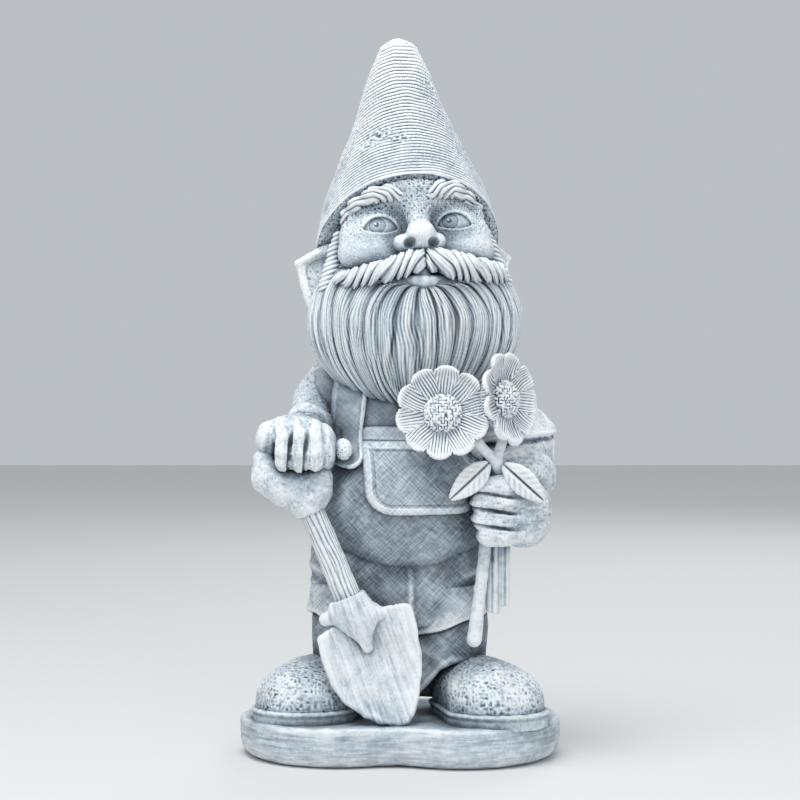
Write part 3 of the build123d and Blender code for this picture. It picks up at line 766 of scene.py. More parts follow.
# ---- arms
ARMS = {
    "right": (((-46, 12, 292), (-60, 14, 266), (-68, -20, 250)), (21, 20, 17.5)),
    "left": (((52, 8, 282), (89, 12, 238), (92, -20, 213)), (25, 27, 24)),
}
for side, name in ((-1, "right"), (1, "left")):
    points, sizes = ARMS[name]

    def sleeve_field(p, points=points, sizes=sizes):
        return chain(p, points, sizes, 10)

    def sleeve_relief(p, n, side=side, points=points):
        a, b = np.array(points[1]), np.array(points[2])
        along = sum((p[i] - a[i]) * (b - a)[i] for i in range(3)) / ((b - a) @ (b - a))
        wob = rough(p, 15, 91, 1) * 0.5
        folds = 0.0
        for k, (where, amp) in enumerate(((-0.55, 2.2), (-0.05, 2.6), (0.45, 2.0))):
            t = (along - where) * 1.6 + wob
            folds = folds + amp * bell(t, 0.16) * (0.6 + 0.4 * rough(p, 20, 90 + k, 1))
        if side > 0:
            line = p[2] - 241 - 0.10 * (p[0] - 95)
            step_up = ramp(line, -0.8, 1.4) * np.exp(-np.maximum(line, 0) / 9)
            folds = folds + 3.2 * step_up - 1.2 * bell(line + 2, 2.0)
        else:
            folds = folds * 0.35
        return folds + stipple(p, 2.4, 15) * 0.45 + rough(p, 10, 92) * 0.5

    low = np.min(np.array(points) - 32, 0)
    high = np.max(np.array(points) + 32, 0)
    carve_piece(f"{name}_arm", [f"{name}_sleeve"], low, high, WIDE, sleeve_field, SKIN,
                sleeve_relief)

    a, b = np.array(points[1], float), np.array(points[2], float)
    axis = (b - a) / np.linalg.norm(b - a)

    def cuff_field(p, b=b, axis=axis, r=sizes[2]):
        q = [p[i] - b[i] for i in range(3)]
        h = sum(q[i] * axis[i] for i in range(3))
        rad = np.sqrt(np.maximum(sum(c * c for c in q) - h * h, 0))
        tube = np.hypot(rad - (r - 2.5), (h - 1) * 0.8) - 5.0
        core = meet(rad - (r - 2.5), np.abs(h) - 3, 2)
        return join(tube, core, 3)

    carve_piece(f"{name}_cuff_roll", [f"{name}_cuff"], b - 34, b + 34, WIDE, cuff_field,
                SKIN, lambda p, n: rough(p, 7, 95) * 0.6 + stipple(p, 2.4, 16) * 0.3)

# ---- spade
SHAFT_A, SHAFT_B = np.array((-66, -56, 190.0)), np.array((-37, -58, 121.0))


SHAFT_AXIS = (SHAFT_B - SHAFT_A) / np.linalg.norm(SHAFT_B - SHAFT_A)


def along_shaft(p):
    return sum((p[i] - SHAFT_A[i]) * SHAFT_AXIS[i] for i in range(3))


def shaft_frame(p):
    h = along_shaft(p)
    side = np.cross(SHAFT_AXIS, (0, 1, 0))
    side /= np.linalg.norm(side)
    front = np.cross(side, SHAFT_AXIS)
    u = sum((p[i] - SHAFT_A[i]) * side[i] for i in range(3))
    v = sum((p[i] - SHAFT_A[i]) * front[i] for i in range(3))
    return h, u, v


def shaft_relief(p, n):
    h, u, v = shaft_frame(p)
    around = np.arctan2(u, v)
    knot = np.hypot(h - 42, (around - 2.9) * 9)
    bend = 0.5 * bell(knot, 12)
    phase = around * 13 / (2 * math.pi) * 1.3 + bend + 0.5 * noise(around * 2, h / 22, 0, 3)
    return groove(phase, 0.6) * 1.2 - 0.8 + rough(p, 6, 5) * 0.3


def shaft_flow(p):
    h, u, v = shaft_frame(p)
    return np.arctan2(u, v) * 14, h * 0.12


carve_piece("spade_shaft", ["shovel_shaft"], (-78, -70, 108), (-24, -44, 204), MEDIUM,
            lambda p: rod(p, SHAFT_A, SHAFT_B, 9, 9.8), WOOD, shaft_relief, shaft_flow)

BLADE_TOP, BLADE_TIP = np.array((-28, -56, 113.0)), np.array((2, -63, PLINTH_TOP + 0.5))
up = BLADE_TOP - BLADE_TIP
BLADE_LEN = np.linalg.norm(up)
up = up / BLADE_LEN
across = np.array((up[2], 0, -up[0]))
across /= np.linalg.norm(across)
BLADE_PLACE = Place(BLADE_TIP, matrix=np.column_stack((across, -np.cross(across, up), up)))
LEFT_EDGE = ((-2, 0, 6, 16, 30, 46, 66, 84, 90), (0, 6, 14, 24, 34, 38.5, 38.5, 36, 32))
RIGHT_EDGE = ((-2, 0, 6, 16, 30, 46, 66, 84, 90), (0, 6, 12, 19, 26, 31, 35, 37, 35))


def blade_field(p):
    q = BLADE_PLACE.inside(p)
    q = [np.broadcast_to(c, np.broadcast_shapes(*(a.shape for a in q))) for c in q]
    u, v, w = q
    left = np.interp(w.ravel(), *LEFT_EDGE).reshape(w.shape).astype(F32)
    right = np.interp(w.ravel(), *RIGHT_EDGE).reshape(w.shape).astype(F32)
    sides = np.maximum(-u - left, u - right) * 0.85
    shoulders = w - BLADE_LEN + 0.0035 * u * u
    d = meet(meet(sides, shoulders, 5), -w - 1, 5)
    bow = 0.0052 * u * u + 0.0016 * (w - 50) ** 2
    depth = v + bow - 3.5
    plate = meet(d, np.abs(depth) - 3.6, 3)
    rim = np.hypot(u + left - 3.0, depth + 1.0) - 4.6
    rim = meet(meet(rim, w - (BLADE_LEN - 6), 3), 4 - w, 3)
    return join(plate, rim, 3)


def blade_relief(p, n):
    q = BLADE_PLACE.inside(p)
    scratch = noise(q[0] / 1.7, q[1] / 4, q[2] / 16, 7) * 0.35
    scratch = scratch + noise(q[0] / 4, q[1] / 4, q[2] / 24, 8) * 0.5
    return scratch + rough(p, 10, 17) * 0.4


def blade_flow(p):
    q = BLADE_PLACE.inside(p)
    return q[0] * 0.9, q[2] * 0.07


carve_piece("spade_blade", ["shovel_blade"], (-76, -84, 26), (24, -36, 124), MEDIUM,
            blade_field, BLADE, blade_relief, blade_flow)


def socket_field(p):
    d = chain(p, ((-38, -57, 124), (-31, -60, 106), (-24, -62, 88)), (12.5, 10, 4.5), 5)
    wings = chain(p, ((-55, -56, 108), (-36, -58, 114), (-12, -56, 113)), (5, 9, 4.5), 8)
    d = join(d, wings, 12)
    return meet(d, 70 - along_shaft(p), 1.5)


carve_piece("spade_socket", ["shovel_socket"], (-64, -78, 80), (-4, -38, 138), MEDIUM,
            socket_field, BLADE, blade_relief, blade_flow)


def grip_field(p):
    far_side = ((-101.5, -55, 227), (-99, -57, 213), (-86, -58, 205), (-70, -57, 196))
    d = chain(p, far_side, (7.5, 9.5, 10.5, 10.5), 8)
    d = join(d, chain(p, ((-59, -54, 215), (-62, -56, 205), (-68, -57, 191)), (9, 10, 10.5), 8), 7)
    d = join(d, ball(p, (-78, -56, 211), (19, 9, 8)), 6)
    return meet(d, along_shaft(p) - 3, 1.5)


carve_piece("spade_grip", ["shovel_grip"], (-116, -76, 180), (-38, -36, 240), MEDIUM,
            grip_field, BLADE, lambda p, n: rough(p, 5, 25) * 0.5 + stipple(p, 2.0, 26) * 0.25)

# ---- hands


def right_hand_field(p):
    d = ball(p, (-79, -46, 242), (27, 22, 18.5))
    d = join(d, ball(p, (-55, -52, 235), (8, 16, 17)), 8)
    d = join(d, ball(p, (-100, -54, 243), (7, 11, 12)), 5)
    for x, top, low, r in ((-87.5, 246, 226, 6.6), (-75, 247, 225, 6.6), (-64, 246, 226, 6.4)):
        finger = ((x, -56, top + 5), (x, -66, top - 2), (x + 1, -69.5, low + 7), (x + 1.5, -69, low),
                  (x + 2, -60, low - 3))
        sizes = (r, r + 0.4, r + 0.2, r - 0.3, r - 1.5)
        d = join(d, chain(p, finger, sizes, 2), 2.2)
    d = carve(d, ball(p, (-98, -66, 232), (7, 8, 6)), 3)
    return d


def knuckles(p, n):
    gaps = 0.0
    for x in (-94.0, -81.2, -69.5):
        lean = x + 0.08 * (p[2] - 236)
        gaps = gaps + bell(p[0] - lean, 1.4) * ramp(252 - p[2], 0, 6) * ramp(-p[1], 52, 58)
    strokes = noise(p[0] / 1.8, p[1] / 3, p[2] / 9, 33) * 0.35
    return strokes + stipple(p, 2.0, 31) * 0.3 - gaps * 2.2 + rough(p, 7, 32) * 0.4


carve_piece("right_fist", ["right_hand"], (-112, -84, 208), (-38, -18, 268), MEDIUM,
            right_hand_field, SKIN, knuckles)


def left_hand_field(p):
    d = ball(p, (86, -44, 190), (25, 24, 28))
    d = join(d, ball(p, (97, -40, 184), (16, 22, 22)), 8)
    for z, reach in ((208, 0), (196, -2), (183.5, -1), (172, 3)):
        tip = 60 + reach
        finger = ((92, -60, z + 1), (77, -68, z), (tip + 3, -66, z - 0.5), (tip, -56, z - 1))
        d = join(d, chain(p, finger, (8, 8, 7.4, 6.5), 3), 2.5)
    return d


def left_knuckles(p, n):
    gaps = 0.0
    for z in (202.0, 190.0, 178.0):
        lean = z + 0.12 * (70 - p[0])
        gaps = gaps + bell(p[2] - lean, 1.3) * ramp(92 - p[0], 0, 12) * ramp(-p[1], 46, 54)
    strokes = noise(p[0] / 6, p[1] / 4, p[2] / 2, 37) * 0.4
    return strokes + stipple(p, 2.0, 35) * 0.3 - gaps * 2.0 + rough(p, 7, 36) * 0.4


carve_piece("left_fist", ["left_hand"], (46, -84, 156), (122, -12, 224), MEDIUM,
            left_hand_field, SKIN, left_knuckles)

# ---- flowers
FLOWERS = (("large", Place((31.5, -76, 262.5), 0, 12), 35.0, 10, 0.1),
           ("small", Place((78, -66, 272.5), 55, 8), 35.0, 9, 1.7))
for name, place, size, count, start in FLOWERS:
    def petal_parts(p, place=place, size=size, count=count, start=start, shift=0):
        q = place.inside(p)
        r = np.hypot(q[0], q[2])
        a = np.arctan2(q[0], q[2]) - start
        k = np.floor(a / (2 * math.pi) * count + 0.5) + shift
        return q, r, a - k * 2 * math.pi / count, np.mod(k, count)

    def petal_field(p, size=size, parts=petal_parts):
        d = None
        for shift in (-1, 0, 1):
            q, r, a, k = parts(p, shift=shift)
            vary = np.sin(k * 2.4) * 0.5 + np.sin(k * 5.1) * 0.5
            u, v = r * np.sin(a), r * np.cos(a)
            outline = slab(u, v, 0, 0.58 * size, 0.29 * size, 0.42 * size, 0.26 * size)
            outline = meet(outline, (np.abs(u) - 0.05 * size - v * 0.32) * 0.95, 3)
            rise = 0.0115 * np.maximum(v - 0.25 * size, 0) ** 2 + 0.035 * u * u
            face = 3.0 - rise - vary * 1.1 + 1.2 * ramp(v, 0.86 * size, size)
            e = meet(outline, np.abs(q[1] - face) - 1.9, 2.2)
            d = e if d is None else join(d, e)
        back = meet(r - 0.66 * size, np.abs(q[1] - 4.5) - 3.0, 2)
        return join(d, back, 2)

    def petal_relief(p, n, size=size, parts=petal_parts):
        q, r, a, k = parts(p)
        u = r * np.sin(a)
        lines = groove(u / 2.1 + 0.5 + 0.3 * rough(q, 8, 4, 1), 0.5)
        front = ramp(-n[1], -0.2, 0.4)
        inner, outer = ramp(r, 0.3 * size, 0.5 * size), 1 - 0.75 * ramp(r, 0.9 * size, size)
        strokes = (lines * 1.3 - 0.9) * inner * outer * front
        # The face is raised at the rim and lower inside; through the relief attribute the inside is painted
        # darker, as painted shade in the cup, and the raised rim lighter like other raised edges.
        return strokes + (1.1 * ramp(r, 0.80 * size, 0.93 * size) - 0.6) * front

    def petal_flow(p, parts=petal_parts):
        q, r, a, k = parts(p)
        return r * np.sin(a) * 1.0 + k * 7, r * 0.06

    c, reach = place.at, size + 6
    carve_piece(f"{name}_petals", [f"{name}_flower_petals"], c - reach, c + reach, 0.6667,
                petal_field, PETAL, petal_relief, petal_flow)

    def dome_field(p, place=place, size=size):
        q = place.inside(p)
        return ball(q, (0, 0.5, 0), (0.39 * size, 0.25 * size, 0.39 * size))

    def dome_relief(p, n):
        cells = np.abs(rough(p, 2.1, 44, 1)) + np.abs(rough(p, 2.1, 45, 1))
        return np.clip(cells, 0, 0.9) * 2.4 - 1.2

    carve_piece(f"{name}_dome", [f"{name}_flower_centre"], c - 18, c + 18, FINE, dome_field,
                PETAL, dome_relief)

LEAVES = (((66, -72, 226), (36.5, -75, 198.5), 8.6), ((76, -73, 225), (107, -71, 197), 8.8))
leaf_places = []
for base, tip, wide in LEAVES:
    v = np.array(tip, float) - np.array(base, float)
    length = np.linalg.norm(v)
    v = v / length
    n = np.array((0.0, 1.0, 0.0))
    n = n - v * (n @ v)
    n /= np.linalg.norm(n)
    leaf_places.append((Place(base, matrix=np.column_stack((np.cross(n, v), n, v))), length, wide))


def leaf_field(p):
    d = None
    for place, length, wide in leaf_places:
        u, n, v = place.inside(p)
        t = np.clip(v / length, 0, 1)
        w = wide * np.maximum(np.sin(np.pi * t ** 0.85), 0) ** 0.8 + 0.8
        outline = meet((np.abs(u) - w) * 0.8, np.abs(v - length / 2) - length / 2, 1)
        bow = -0.03 * u * u * 0.6 + 0.006 * (v - length * 0.5) ** 2 - 1.5
        e = meet(outline, np.abs(n - bow) - 2.4, 2.4)
        d = e if d is None else join(d, e)
    return d


def leaf_relief(p, n):
    height = 0
    for place, length, wide in leaf_places:
        u, m, v = place.inside(p)
        on = (v > -2) & (v < length + 2) & (np.abs(u) < wide + 3)
        rib = -bell(u, 0.9) * 1.4
        veins = groove((v - np.abs(u) * 0.9) / 5.5, 0.3) * 0.35 * ramp(np.abs(u), 1, 3)
        height = height + on * (rib + veins)
    return height


carve_piece("leaf_pair", ["leaves"], (28, -86, 188), (116, -62, 234), MEDIUM, leaf_field,
            PETAL, leaf_relief)


def stems_field(p):
    main = ((80, -50, 200), (71, -68, 226), (58, -70, 240), (40, -70, 252))
    branch = ((71, -68, 226), (77, -62, 246), (80, -60, 262))
    return join(chain(p, main, (4.5, 4, 3.6, 3.2), 2), chain(p, branch, (4, 3.6, 3.4), 2), 3)


carve_piece("stems", ["flower_stems"], (30, -84, 196), (92, -40, 272), MEDIUM, stems_field,
            PETAL, lambda p, n: rough(p, 5, 48) * 0.3)

carve_piece("stem_tail", ["stem_end"], (44, -60, 80), (76, -36, 184), MEDIUM,
            lambda p: chain(p, ((66, -48, 178), (60, -47, 130), (55.5, -47, 92)), (4.6, 4.6, 5.6), 2),
            PETAL, lambda p, n: rough(p, 5, 49) * 0.4)


def bundle_field(p):
    d = chain(p, ((70, -38, 178), (70, -38, 114)), (6, 6), 0)
    d = join(d, chain(p, ((77, -34, 176), (78, -33, 120)), (5.5, 5), 0), 2)
    return meet(d, 111 - p[2] + (p[0] - 70) * -0.3, 1.5)


carve_piece("stem_wrap", ["stem_bundle"], (58, -50, 100), (90, -20, 186), MEDIUM,
            bundle_field,
            PETAL, lambda p, n: groove(p[0] / 5.0 + 0.2, 0.5) * 0.9 - 0.5 + rough(p, 8, 50) * 0.5)

# ---- head
EYE_X, EYE_Y = 28.0, -42.5
EYE_Z = {-1: 4.3, 1: 6.4}
GAZE = {-1: -2.3, 1: -3.4}  # how far each iris lies to the side


def eye_of(side):
    return side * EYE_X, EYE_Y, EYE_Z[side]


def lens(x, z, side):
    """The opening between one eye's lids, drawn on the face."""
    cx, _, cz = eye_of(side)
    over = np.hypot(x - cx, z - (cz - 6.6)) - 13.6
    under = np.hypot(x - cx, z - (cz + 27)) - 32.5
    return meet(over, under, 0)


def head_field(p):
    q = HEAD.inside(p)
    d = ball(q, (0, 2, -4), (55, 50, 62))
    d = join(d, ball(q, (0, -17, 33), (47, 41, 23)), 10)
    for s in (-1, 1):
        d = join(d, rod(q, (s * 44, -33, 18), (s * 12, -46, 21), 8, 8), 9)
    d = join(d, ball(q, (0, -45, 18), (13, 9, 12)), 8)
    for s in (-1, 1):
        d = carve(d, ball(q, (s * 20, -58, 8), (11, 12, 9)), 8)
        d = join(d, ball(q, (s * 45, -33, -1), (12, 13, 15)), 7)
        d = join(d, ball(q, (s * 34, -37, -14), (25, 16, 15)), 8)
        d = carve(d, rod(q, (s * 20, -60, -17), (s * 38, -55, -26), 1.8, 1.8), 5)
        cx, cy, cz = eye_of(s)
        lid = ball(q, (cx, cy, cz), (17.0, 10.0, 12.0))
        d = join(d, lid, 7)
    d = join(d, rod(q, (1, -48, -18), (1, -52, -36), 6, 7), 4)
    d = join(d, rod(q, (0, -48, 22), (0.3, -59, -4), 6.5, 8.5), 8)
    d = join(d, ball(q, (0.5, -57, -10.5), (17, 9.5, 6.5)), 4)
    d = join(d, ball(q, (0.5, -61.5, -5), (10.5, 10.5, 9.0)), 4)
    for s in (-1, 1):
        d = join(d, ball(q, (s * 13.5, -54.5, -10), (6.2, 8, 6.0)), 4)
        d = carve(d, ball(q, (s * 9 + 0.3, -66, -12.2), (4.6, 11, 4.0)), 1.6)
        cx, cy, cz = eye_of(s)
        gap = lens(q[0], q[2], s)
        d = carve(d, meet(gap, q[1] - cy, 0), 1.0)
        lid = ball(q, (cx, cy, cz), (17.0, 10.0, 12.0))
        upper = np.maximum(q[2] - (cz - 4), 0)
        rim = np.hypot(gap - 1.2, lid - 0.4) - (0.75 + 0.5 * np.minimum(upper / 5, 1))
        rim = meet(rim, q[1] - (cy + 4), 1)
        d = join(d, rim, 1.2)
    d = join(d, rod(p, (3, 10, 300), (4, 8, 350), 34, 36), 10)
    return d


def face_relief(p, n):
    q = HEAD.inside(p)
    upper = ramp(q[2], -8, 4)
    smooth_spot = 0.0
    for s in (-1, 1):
        cx, cy, cz = eye_of(s)
        smooth_spot = smooth_spot + bell(q[0] - cx, 15) * bell(q[2] - cz, 8)
    pitted = (0.25 + 0.6 * upper) * (1 - np.clip(smooth_spot, 0, 1))
    return stipple(p, 1.8, 51) * pitted + rough(p, 9, 52) * 0.25


carve_piece("face", ["head", "nose"], (-56, -86, 296), (72, 66, 448), MEDIUM, head_field,
            SKIN, face_relief, reach=6)

# Each run of hair is a row of points on the face: right side first, then left.
BROWS = {
    -1: ((-13, -53.5, 26), (-22, -53, 28.5), (-33, -50.5, 27.5), (-45, -43, 23), (-51.5, -35, 17),
         (-54, -30, 8)),
    1: ((11, -54, 27.5), (18, -53.5, 30.5), (29, -50, 31), (39.5, -43, 27), (48.5, -34, 20), (53, -29, 11)),
}
BROW_SIZES = {-1: (4.0, 5.0, 4.8, 3.6, 2.2, 1.4), 1: (4.6, 6.0, 5.6, 4.2, 2.6, 1.5)}


def along(q, points):
    """How far along a run each point lies, and how far above or below it, seen from the front."""
    best, run, off = None, None, None
    start = 0.0
    for (x0, _, z0), (x1, _, z1) in zip(points, points[1:]):
        length = math.hypot(x1 - x0, z1 - z0)
        dx, dz = (x1 - x0) / length, (z1 - z0) / length
        t = np.clip((q[0] - x0) * dx + (q[2] - z0) * dz, 0, length)
        gap_x, gap_z = q[0] - x0 - t * dx, q[2] - z0 - t * dz
        far = np.hypot(gap_x, gap_z)
        side = np.sign(dx * gap_z - dz * gap_x) * math.copysign(1, dx) * far
        if best is None:
            best, run, off = far, start + t, side
        else:
            closer = far < best
            best = np.where(closer, far, best)
            run = np.where(closer, start + t, run)
            off = np.where(closer, side, off)
        start += length
    return run, off


WHISKERS = {
    -1: ((0.5, -60, -22.5), (-8, -61.5, -26), (-17, -61, -29), (-28, -58, -31.5), (-39, -53, -33),
         (-49, -47, -34), (-58, -40, -33.5)),
    1: ((5, -60, -22.5), (13.5, -61.5, -26), (23, -60, -28.5), (34, -55, -30), (47, -47, -31),
        (57, -40, -31.5), (64, -34, -31)),
}
WHISKER_SIZES = {-1: (6.0, 7.4, 7.4, 7.0, 6.8, 6.2, 5.0), 1: (6.0, 8.0, 9.0, 9.0, 8.4, 7.6, 5.6)}

for s, name in ((-1, "right"), (1, "left")):
    def eye_field(p, s=s):
        return ball(HEAD.inside(p), eye_of(s), (15.8, 8.6, 11.0))

    def eye_relief(p, n, s=s):
        q = HEAD.inside(p)
        cx, _, cz = eye_of(s)
        r = np.hypot(q[0] - cx - GAZE[s], q[2] - cz - 0.6)
        iris = -0.9 * bell(r - 5.9, 0.6)
        well = -0.7 * ramp(5.6 - r, 0, 0.8)
        pupil = -0.8 * ramp(2.3 - np.hypot(q[0] - cx - GAZE[s] + 0.6, q[2] - cz - 0.8), 0, 0.8)
        # A raised dot at the iris's upper left, which the relief attribute also paints light: a painted
        # highlight in the eye.
        light = 1.5 * ramp(1.3 - np.hypot(q[0] - cx - GAZE[s] + 1.4, q[2] - cz - 1.6), 0, 0.6)
        return iris + well + pupil + light

    at = HEAD.out(eye_of(s))
    carve_piece(f"{name}_eyeball", [f"{name}_eye"], at - 18, at + 18, FINE, eye_field, SKIN,
                eye_relief, reach=8)

    def brow_field(p, s=s):
        return chain(HEAD.inside(p), BROWS[s], BROW_SIZES[s], 4)

    def brow_relief(p, n, s=s):
        q = HEAD.inside(p)
        run, off = along(q, BROWS[s])
        phase = (0.42 * run - 0.91 * off) / 4.0 + 0.5 * noise(run / 9, off / 6, 0, 55)
        return groove(phase, 0.9) * 1.9 - 1.2 + groove(phase * 2.7, 0.5) * 0.6

    def brow_flow(p, s=s):
        run, off = along(HEAD.inside(p), BROWS[s])
        return (0.42 * run - 0.91 * off) * 1.1, (0.91 * run + 0.42 * off) * 0.08

    low, high = box_round(BROWS[s], 12)
    carve_piece(f"{name}_brow", [f"{name}_eyebrow"], low, high, MEDIUM, brow_field, HAIR,
                brow_relief, brow_flow)

    def whisker_field(p, s=s):
        q = HEAD.inside(p)
        d = chain(q, WHISKERS[s], WHISKER_SIZES[s], 5)
        # The lower edge is fringed where each lock ends.
        phase = (0.86 * s * q[0] + 0.52 * q[2]) / 6.4 + 0.30 * np.sin(0.21 * q[0])
        under = np.interp(np.broadcast_to(s * q[0], d.shape).ravel(), [s * w[0] for w in WHISKERS[s]],
                          [w[2] for w in WHISKERS[s]]).reshape(d.shape).astype(F32)
        low_part = ramp(under - q[2], -1, 6)
        d = d - (groove(phase, 1.2) - 0.65) * 2.2 * low_part
        return meet(d, -s * (q[0] - 2.7) + 0.2, 2.5)

    def whisker_relief(p, n, s=s):
        q = HEAD.inside(p)
        u = s * q[0]
        phase = (0.86 * u + 0.52 * q[2]) / 6.4 + 0.30 * np.sin(0.21 * q[0])
        fine = phase * 3 + 0.5 * noise(u / 8, q[2] / 8, q[1] / 8, 58)
        return groove(phase, 1.0) * 1.5 - 1.0 + groove(fine, 0.4) * 0.8 - 0.4

    def whisker_flow(p, s=s):
        q = HEAD.inside(p)
        return (0.86 * s * q[0] + 0.52 * q[2]) * 1.1, (0.52 * s * q[0] - 0.86 * q[2]) * 0.08

    low, high = box_round(WHISKERS[s], 15)
    carve_piece(f"{name}_whiskers", [f"{name}_moustache"], low, high, MEDIUM, whisker_field,
                HAIR, whisker_relief, whisker_flow)

    # A leaf-shaped ear that points outwards, with its upper rim folded forward.
    wide = 1.0 if s < 0 else 0.92
    rim_points = [(s * x * (wide if x > 60 else 1), z) for x, z in
                  ((50, 4), (67, 2.5), (86, -8), (84, -28), (78, -46), (50, -46))]

    def ear_field(p, s=s, rim_points=rim_points):
        q = HEAD.inside(p)
        d2 = None
        for (x0, z0), (x1, z1) in zip(rim_points, rim_points[1:] + rim_points[:1]):
            length = math.hypot(x1 - x0, z1 - z0)
            nx, nz = s * (z0 - z1) / length, -s * (x0 - x1) / length
            e = (q[0] - x0) * nx + (q[2] - z0) * nz
            d2 = e if d2 is None else meet(d2, e, 5)
        depth = q[1] - (4 + 0.30 * (s * q[0] - 62))
        d = meet(d2, np.abs(depth) - 3.6, 3)
        hollow = meet(d2 + 6.0, depth - 0.2, 2)
        d = carve(d, hollow, 2.5)
        tip, root = rim_points[2], rim_points[1]
        lip = rod(q, (tip[0] * 0.985, 8, tip[1] - 1.5), (s * 62, 0, root[1] - 3), 2.6, 4.2)
        d = join(d, lip, 2)
        return join(d, ball(q, (s * 60, 2, -34), (9, 6, 12)), 5)

    low = HEAD.out((s * 68, 4, -22)) - (26, 24, 32)
    carve_piece(f"{name}_ear_shell", [f"{name}_ear"], low, low + (52, 48, 64), MEDIUM,
                ear_field, SKIN, lambda p, n: stipple(p, 2.0, 61) * 0.55 + rough(p, 7, 62) * 0.3)

    SIDE = ((s * 56, -22, 4), (s * 59, -22, -8), (s * 62, -23, -22), (s * 67, -24, -36))

    def lock_field(p, pts=SIDE):
        return chain(HEAD.inside(p), pts, (4.2, 5.0, 6.0, 7.0), 5)

    def lock_relief(p, n, s=s):
        q = HEAD.inside(p)
        phase = (q[2] + 0.25 * s * q[0]) / 3.6
        return groove(phase, 0.8) * 1.1 - 0.7

    low, high = box_round(SIDE, 13)
    carve_piece(f"{name}_side_lock", [f"{name}_sideburn"], low, high, MEDIUM, lock_field,
                HAIR, lock_relief)


def lip_field(p):
    q = HEAD.inside(p)
    curve = ((-13, -55, -36.5), (-6, -58, -39.5), (1, -59, -40.6), (8, -58, -40), (15.5, -55, -37.2))
    return chain(q, curve, (1.6, 3.4, 4.0, 3.4, 1.6), 3)


lip_at = HEAD.out((1, -58, -39))
carve_piece("lip", ["lower_lip"], lip_at - (22, 14, 12), lip_at + (22, 14, 12), FINE,
            lip_field, SKIN, lambda p, n: rough(p, 5, 63) * 0.2)

# ---- beard and back hair
BEARD = Place((11.5, -20, 329), HEAD_YAW)
BEARD_R = (81.5, 50, 64)
LOCK_TOP = 28.0  # height above the beard's middle where the front locks meet under the lip


def beard_field(p):
    q = BEARD.inside(p)
    h = HEAD.inside(p)
    d = ball(q, (0, 0, 0), BEARD_R)
    d = meet(d, q[1] - 14, 10)
    face = ring(h[0], h[2], 0, 16, 50, 51)
    return carve(d, face, 6)


def beard_parts(p):
    """Where a point lies across the locks, which swell out from the lip and meet again at the tip."""
    q = BEARD.inside(p)
    x = q[0] / BEARD_R[0]
    across = x.copy()
    for _ in range(5):
        top = LOCK_TOP + 43 * np.clip(np.abs(across), 0, 1) ** 2
        t = q[2] / np.where(q[2] > 0, top, -67.0)
        narrow = np.sqrt(np.maximum(1 - t * t, 0.07))
        across = x / narrow
    angle = np.arcsin(np.clip(across, -1, 1))
    behind = np.maximum(q[1] + 6, 0) / BEARD_R[1]
    angle = angle + np.sign(x) * behind
    angle = angle + 0.045 * noise(q[0] / 24, 0, q[2] / 46, 71) + 0.05 * noise(angle * 3.0, 0, 0, 76)
    open_here = ramp(1 - t * t, 0.07, 0.30)  # the locks run together where they meet
    return q, angle, open_here


def beard_relief(p, n):
    q, angle, open_here = beard_parts(p)
    major = groove(angle * 17 / math.pi + 0.5 + 0.3 * noise(angle * 2.5, 4, q[2] / 50, 77), 1.3)
    middle = groove(angle * 39 / math.pi + 0.8 * noise(angle * 5, 1, q[2] / 34, 73), 0.8)
    strand = groove(angle * 104 / math.pi + 1.1 * noise(angle * 9, 2, q[2] / 20, 74), 0.4)
    near_lip = bell(q[0], 40) * ramp(q[2], -20, 22)
    deep = 1.9 + 1.3 * near_lip + 1.3 * noise(angle * 6, 3, q[2] / 40, 75)
    vary = np.clip(0.5 + 1.1 * noise(angle * 7, 5, q[2] / 18, 78), 0.1, 1.3)
    return ((major - 0.8) * deep + (middle - 0.6) * 1.5 * vary + (strand - 0.5) * 0.9) * open_here


def beard_flow(p):
    q, angle, _ = beard_parts(p)
    return angle * 52, q[2] * 0.03


carve_piece("beard_locks", ["beard"], (-76, -78, 260), (98, 8, 396), MEDIUM, beard_field,
            HAIR, beard_relief, beard_flow, reach=7)


def hair_field(p):
    h = HEAD.inside(p)
    d = ball(h, (0, 14, -26), (62, 52, 62))
    return meet(d, -2 - h[1], 8)


def hair_relief(p, n):
    h = HEAD.inside(p)
    angle = np.arctan2(h[0], h[1])
    phase = angle * 24 / math.pi + 0.5 * noise(h[0] / 14, h[1] / 14, h[2] / 22, 81)
    return groove(phase, 0.9) * 3.0 - 2.0 + groove(phase * 3.2, 0.4) * 0.7


def hair_flow(p):
    h = HEAD.inside(p)
    return np.arctan2(h[0], h[1]) * 40, h[2] * 0.04


carve_piece("nape_hair", ["back_hair"], (-62, -8, 292), (76, 72, 392), WIDE, hair_field, HAIR,
            hair_relief, hair_flow)

# ---- hat
APEX = 165.0
PROFILE = ((165, 0), (164, 4.5), (161, 9.5), (157, 14), (136, 23), (115, 30), (94, 37.2), (73, 46.8),
           (52, 55.8), (33, 63.5), (6, 70), (-25, 71.5), (-60, 71.5))
BRIM_SLOPE = 0.62
BRIM_LEVEL = 5.0


